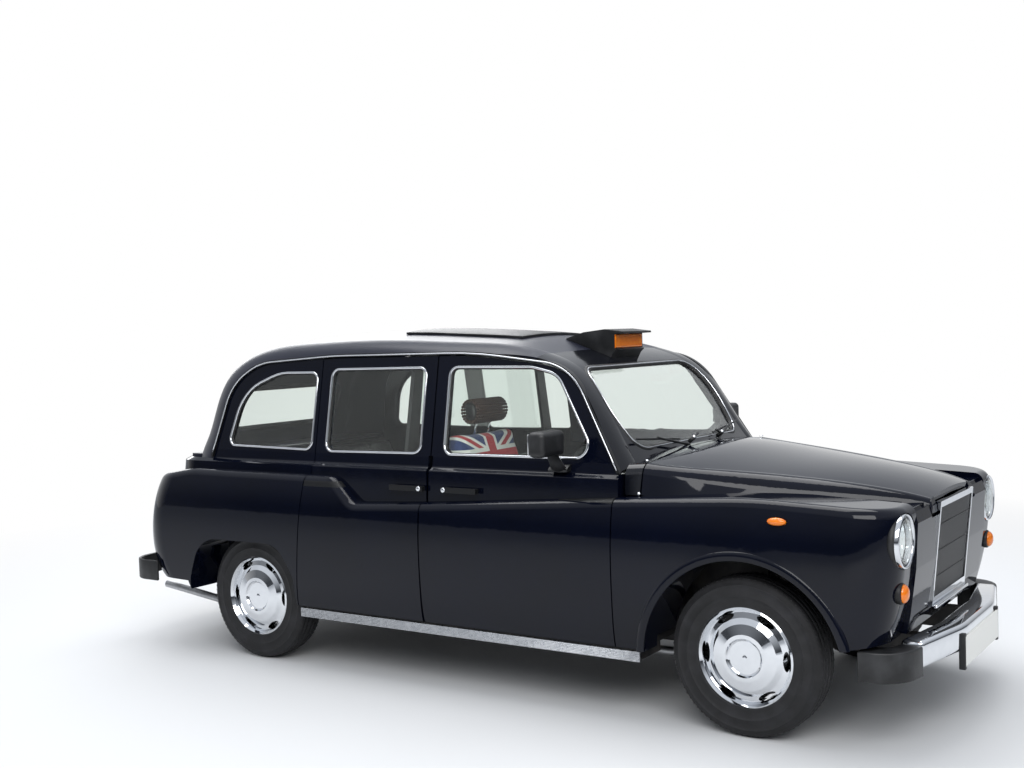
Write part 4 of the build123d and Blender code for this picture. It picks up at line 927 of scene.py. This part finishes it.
def striped_cover():
    """Printed cotton seat cover: red crosses edged white on blue, matt with threads about 3 mm apart."""
    cross_level, slant = 1.09, 0.55
    white, crimson = "e9e7e2", "b3202b"
    material, tree, shader, where = start("printed cotton seat cover", Roughness=0.85, Sheen_Weight=0.2)
    spot = add(tree, SPLIT, Vector=where).node.outputs
    across = add(tree, MATH, SUM, i0=spot["Y"], i1=-DRIVER_Y)
    level = add(tree, MATH, DIFFERENCE, i0=spot["Z"], i1=cross_level)
    up = add(tree, MATH, ABSOLUTE, i0=level)
    out = add(tree, MATH, ABSOLUTE, i0=across)
    rise = add(tree, MATH, PRODUCT, i0=out, i1=slant)
    diagonal = add(tree, MATH, DIFFERENCE, i0=up, i1=rise)
    colour = "22386f"
    for reach, line, code in (
        (0.03, diagonal, white),
        (0.012, diagonal, crimson),
        (0.052, level, white),
        (0.052, across, white),
        (0.032, level, crimson),
        (0.032, across, crimson),
    ):
        far = add(tree, MATH, ABSOLUTE, i0=line)
        inside = add(tree, MATH, LESS, i0=far, i1=reach)
        colour = add(tree, MIX, COLOURS, out=2, Factor=inside, i6=colour, i7=code)
    tree.links.new(colour, shader["Base Color"])
    threads = add(tree, WAVE, ALONG_Y, out="Fac", Vector=where, Scale=110.0)
    add(tree, BUMP, to=shader["Normal"], Height=threads, Strength=0.2, Distance=0.0005)
    return material


cover_outline = ((-0.112, 1.02), (0.038, 1.02), (-0.03, 1.224), (-0.13, 1.21))
cover_form = (cover_outline, DRIVER_Y - 0.252, DRIVER_Y + 0.252, 0.03)
cover = upholstered("printed_seat_cover", (cover_form,), striped_cover(), 0.008, 0.008)
place(cover, "car_body")

# Beaded headrest cover: rows of turned wooden beads round the headrest, its section a little flat
BEAD_RINGS, BEAD_SIDES, BEAD_RADIUS, BEAD_HALF = 5, 8, 0.0082, 0.0088
BEADS_ACROSS, BEADS_ROUND, BEAD_PITCH = 15, 22, 0.0183
FIRST_BEAD_Y, BEAD_REACH, BEAD_FLATNESS = -0.128, 0.056, 0.86
HEADREST_X, HEADREST_Z = -0.0375, 1.3255
bead_rings = []
for level in range(BEAD_RINGS):
    angle = pi * (level + 0.5) / BEAD_RINGS
    radius = BEAD_RADIUS * sin(angle)
    y = FIRST_BEAD_Y + BEAD_HALF * cos(angle)
    turns = [2 * pi * step / BEAD_SIDES for step in range(BEAD_SIDES)]
    bead_rings.append([(radius * cos(turn), y, BEAD_REACH + radius * sin(turn)) for turn in turns])
bead = skinned("bead", bead_rings, bead_wood)
bead_row = repeated("bead_row", bead, BEADS_ACROSS, bead_wood, step=(0, BEAD_PITCH, 0))
headrest_middle = (HEADREST_X, DRIVER_Y, HEADREST_Z)
bead_turn = 2 * pi / BEADS_ROUND
beads = repeated("headrest_beads", bead_row, BEADS_ROUND, bead_wood, turn=bead_turn, at=headrest_middle)
for vert in beads.data.vertices:
    vert.co.x = HEADREST_X + (vert.co.x - HEADREST_X) * BEAD_FLATNESS
place(beads, "car_body")

# Rear seat and the two tip-up seats
bench = ((-0.93, 0.6), (-0.93, 0.79), (-1.44, 0.762), (-1.44, 0.562), (-0.984, 0.562))
bench_back = ((-1.385, 0.775), (-1.49, 0.775), (-1.65, 1.06), (-1.545, 1.068))
rear_pads = upholstered(
    "rear_seat_pads",
    ((bench, -0.53, 0.53, 0.026), (bench_back, -0.69, 0.69, 0.03)),
    seat_cloth,
    0.013,
    0.012,
    (-0.45, -0.27, -0.09, 0.09, 0.27, 0.45),
)
place(rear_pads, "car_body", "rear_seat")
tip_outline = ((-0.35, 0.64), (-0.35, 0.96), (-0.405, 0.96), (-0.405, 0.64))
for hand, side in HANDS:
    low_y, high_y = sorted((side * 0.18, side * 0.58))
    form = (tip_outline, low_y, high_y, 0.016)
    seams = (side * 0.3, side * 0.46)
    tip = upholstered(f"tip_up_seat_pad_{hand}", (form,), seat_cloth, 0.009, 0.007, seams)
    place(tip, f"tip_up_seat_{hand}", f"tip_up_seat_{hand}")
    arms = []
    for arm in (0.23, 0.5):
        low, high = (-0.372, side * arm, 0.596), (-0.352, side * (arm + 0.03), 0.7)
        arms.append(block("arm", low, high, iron, 0.003))
    place(merge(f"tip_up_seat_arms_{hand}", arms), f"tip_up_seat_{hand}")

# Wiper spindles with their caps, on the scuttle ahead of the screen
SPINDLE_Y, SPINDLE_HEIGHT = 0.16, 0.034
for hand, side in HANDS:
    foot = screen_centre + Vector((0, side * SPINDLE_Y, 0)) + screen_up * -0.226 + screen_out * 0.004
    top = foot + screen_out * SPINDLE_HEIGHT
    arm_foot = foot + screen_out * 0.024
    arm_head = foot + screen_out * 0.026 + Vector((0, -side * 0.055, 0.02))
    spindle = [
        bar_between("spindle", foot, top, 0.011, black_plastic, 24),
        oval_lens("cap", top, (0.62, 0, 0.78), 0.01, 0.01, 0.01, chrome),
        bar_between("head", arm_foot, arm_head, 0.006, black_plastic, 12),
    ]
    place(merge(f"wiper_spindle_{hand}", spindle), "car_body")

# Rear: boot handle, and bright dividers between the tail lamps' bands
boot_parts = [
    block("escutcheon", (-2.1215, -0.055, 0.905), (-2.1085, 0.055, 0.935), chrome, 0.005),
    block("grip", (-2.133, -0.042, 0.912), (-2.118, 0.042, 0.928), black_plastic, 0.005),
]
place(merge("boot_handle", boot_parts), "boot_lid")
dividers = []
for side in (1, -1):
    for height in (0.643, 0.753):
        low, high = (-2.168, side * 0.562, height - 0.0015), (-2.164, side * 0.638, height + 0.0015)
        dividers.append(block("divider", low, high, chrome, 0.001, 1))
place(merge("tail_lamp_dividers", dividers), "car_body")

# Cabin details: three gauges with needles, and floor mats
GAUGE_X, GAUGE_Z, GAUGE_WAY = 0.758, 1.03, (-1, 0, 0.1)
gauge_parts = []
for y, radius in ((-0.48, 0.042), (-0.38, 0.052), (-0.28, 0.042)):
    hub = (GAUGE_X, y, GAUGE_Z)
    face = radius - 0.006
    bezel = ((radius, -0.002), (radius, 0.006), (radius - 0.004, 0.008), (face, 0.004), (face, -0.002))
    dial = ((0.0, 0.003), (face, 0.003), (face, -0.002), (0.0, -0.002))
    low, high = (0.754, y - 0.0012, GAUGE_Z), (0.7548, y + 0.0012, GAUGE_Z + radius * 0.7)
    gauge_parts += [
        lathe("bezel", bezel, chrome, hub, GAUGE_WAY, 40),
        lathe("dial", dial, seal, hub, GAUGE_WAY, 40),
        block("needle", low, high, red, 0.0003, 1),
    ]
place(merge("dashboard_gauges", gauge_parts), "car_body")
MAT_LOW, MAT_TOP = 0.3722, 0.379
mats = []
for low_x, high_x, low_y, high_y in (
    (-0.24, 0.02, -0.6, 0.6),
    (0.44, 0.98, -0.61, -0.12),
    (0.44, 0.98, 0.12, 0.61),
    (-0.9, -0.43, -0.6, 0.6),
):
    mats.append(block("mat", (low_x, low_y, MAT_LOW), (high_x, high_y, MAT_TOP), carpet, 0.003))
place(merge("floor_mats", mats), "car_body")

# Front plate's brackets, and the bonnet's rear buffers: each one's height, place across, way it faces
for hand, side in HANDS:
    low, high = (2.262, side * 0.272, 0.262), (2.2895, side * 0.296, 0.414)
    place(block(f"plate_bracket_{hand}", low, high, black_plastic, 0.004), "car_body")
    for number, height, half, way in (
        (1, 1.126, 0.65, (0, side * 0.35, 1)),
        (2, 0.99, 0.738, (0, side, 0.2)),
    ):
        centre = (1.024, side * half, height)
        stud = oval_lens(f"bonnet_buffer_{hand}_{number}", centre, way, 0.01, 0.01, 0.009, chrome)
        place(stud, "car_body")


# Floor, backdrop, light and camera
def seen_straight(tree):
    """1 for what shows directly or through glass, 0 for the light that falls on the cab and in its cabin."""
    rays = add(tree, "ShaderNodeLightPath").node.outputs
    either = add(tree, MATH, HIGHEST, i0=rays["Is Camera Ray"], i1=rays["Is Transmission Ray"])
    unscattered = add(tree, MATH, LESS, i0=rays["Diffuse Depth"], i1=0.5)
    return add(tree, MATH, PRODUCT, i0=either, i1=unscattered)


def pale_floor():
    """Pale studio paper that fades to white with distance."""
    half, fade_from, fade_to = 40.0, 3.0, 7.0
    material, tree, shader, where = start("pale studio paper", Base_Color=srgb("d2d3d4"), Roughness=0.9)
    tooth = add(tree, NOISE, Vector=where, Scale=30.0, Detail=3.0)
    add(tree, BUMP, to=shader["Normal"], Height=tooth, Strength=0.02, Distance=0.001)
    reach = add(tree, "ShaderNodeVectorMath", {"operation": "LENGTH"}, out="Value", i0=where)
    distant = add(tree, RANGE, Value=reach, From_Min=fade_from, From_Max=fade_to)
    far = add(tree, MATH, PRODUCT, i0=distant, i1=seen_straight(tree))
    white = add(tree, "ShaderNodeEmission", Color=(1, 1, 1, 1), Strength=1.0)
    paper = tree.nodes["Principled BSDF"].outputs[0]
    surface = tree.nodes["Material Output"].inputs["Surface"]
    add(tree, "ShaderNodeMixShader", to=surface, i0=far, i1=paper, i2=white)
    mesh = bpy.data.meshes.new("floor")
    corners = [(-half, -half, 0), (half, -half, 0), (half, half, 0), (-half, half, 0)]
    mesh.from_pydata(corners, [], [(0, 1, 2, 3)])
    mesh.materials.append(material)
    shown("floor", mesh)


def soft_sky():
    """A sky that shows white, bright beyond the cab and darker on the photograph's side."""
    world = bpy.data.worlds.new("soft sky")
    scene.world = world
    world.use_nodes = True
    tree = world.node_tree
    way = add(tree, "ShaderNodeTexCoord", out="Generated")
    spot = add(tree, SPLIT, Vector=way).node.outputs
    left = add(tree, MATH, PRODUCT, i0=spot["Y"], i1=0.6)
    ahead = add(tree, MATH, PRODUCT, i0=spot["X"], i1=0.8)
    depth = add(tree, MATH, DIFFERENCE, i0=left, i1=ahead)
    rise = add(tree, RANGE, Value=spot["Z"], From_Min=0.05, From_Max=0.55)
    near = add(tree, MIX, COLOURS, out=2, Factor=rise, i6="4a4d52", i7="e9eef6")
    far_rise = add(tree, RANGE, Value=spot["Z"], From_Min=0.0, From_Max=0.5)
    beyond = add(tree, MIX, COLOURS, out=2, Factor=far_rise, i6="fbfcfd", i7="e9eef6")
    side = add(tree, RANGE, Value=depth, From_Min=0.15, From_Max=0.7)
    sky = tree.nodes["Background"]
    add(tree, MIX, COLOURS, to=sky.inputs["Color"], out=2, Factor=side, i6=near, i7=beyond)
    sky.inputs["Strength"].default_value = 0.85
    white = add(tree, "ShaderNodeBackground", Color=(1, 1, 1, 1), Strength=1.0)
    surface = tree.nodes["World Output"].inputs["Surface"]
    add(tree, "ShaderNodeMixShader", to=surface, i0=seen_straight(tree), i1=sky.outputs[0], i2=white)


def soft_lamps():
    """Three large soft lamps, each with its place, aim, width and power in watts."""
    for name, spot, aim, size, power in (
        ("key lamp", (4.5, -6.0, 5.5), (0.2, 0, 0.6), 6.5, 430.0),
        ("overhead lamp", (-0.5, 0.5, 6.5), (0, 0, 0), 7.0, 340.0),
        ("rear lamp", (-6.0, 4.5, 4.0), (0, 0, 0.7), 5.5, 210.0),
    ):
        light = bpy.data.lights.new(name, "AREA")
        light.energy = power
        light.shape = "RECTANGLE"
        light.size = size
        light.size_y = size * 0.6
        lamp = shown(name, light)
        lamp.location = spot
        lamp.rotation_euler = (Vector(aim) - Vector(spot)).to_track_quat("-Z", "Y").to_euler()


def photo_camera():
    """The photograph's view: from the front right, just above waist height."""
    frame_width, focal_length, sensor = 1024, 1240.1, 36.0
    stand = Vector((3.586, -5.53, 1.706))
    turn, pitch, roll = radians(33.84), radians(-2.29), -0.0304
    ahead = Vector((-sin(turn) * cos(pitch), cos(turn) * cos(pitch), sin(pitch)))
    right = Vector((cos(turn), sin(turn), 0))
    up = right.cross(ahead)
    level = right * cos(roll) + up * sin(roll)
    upright = up * cos(roll) - right * sin(roll)
    data = bpy.data.cameras.new("photo camera")
    data.sensor_width = sensor
    data.lens = focal_length / frame_width * sensor
    camera = shown("photo camera", data)
    basis = Matrix((level, upright, -ahead)).transposed()
    camera.matrix_world = Matrix.Translation(stand) @ basis.to_4x4()
    scene.camera = camera


pale_floor()
soft_sky()
soft_lamps()
photo_camera()
scene.view_settings.view_transform = "Standard"
bpy.context.view_layer.update()
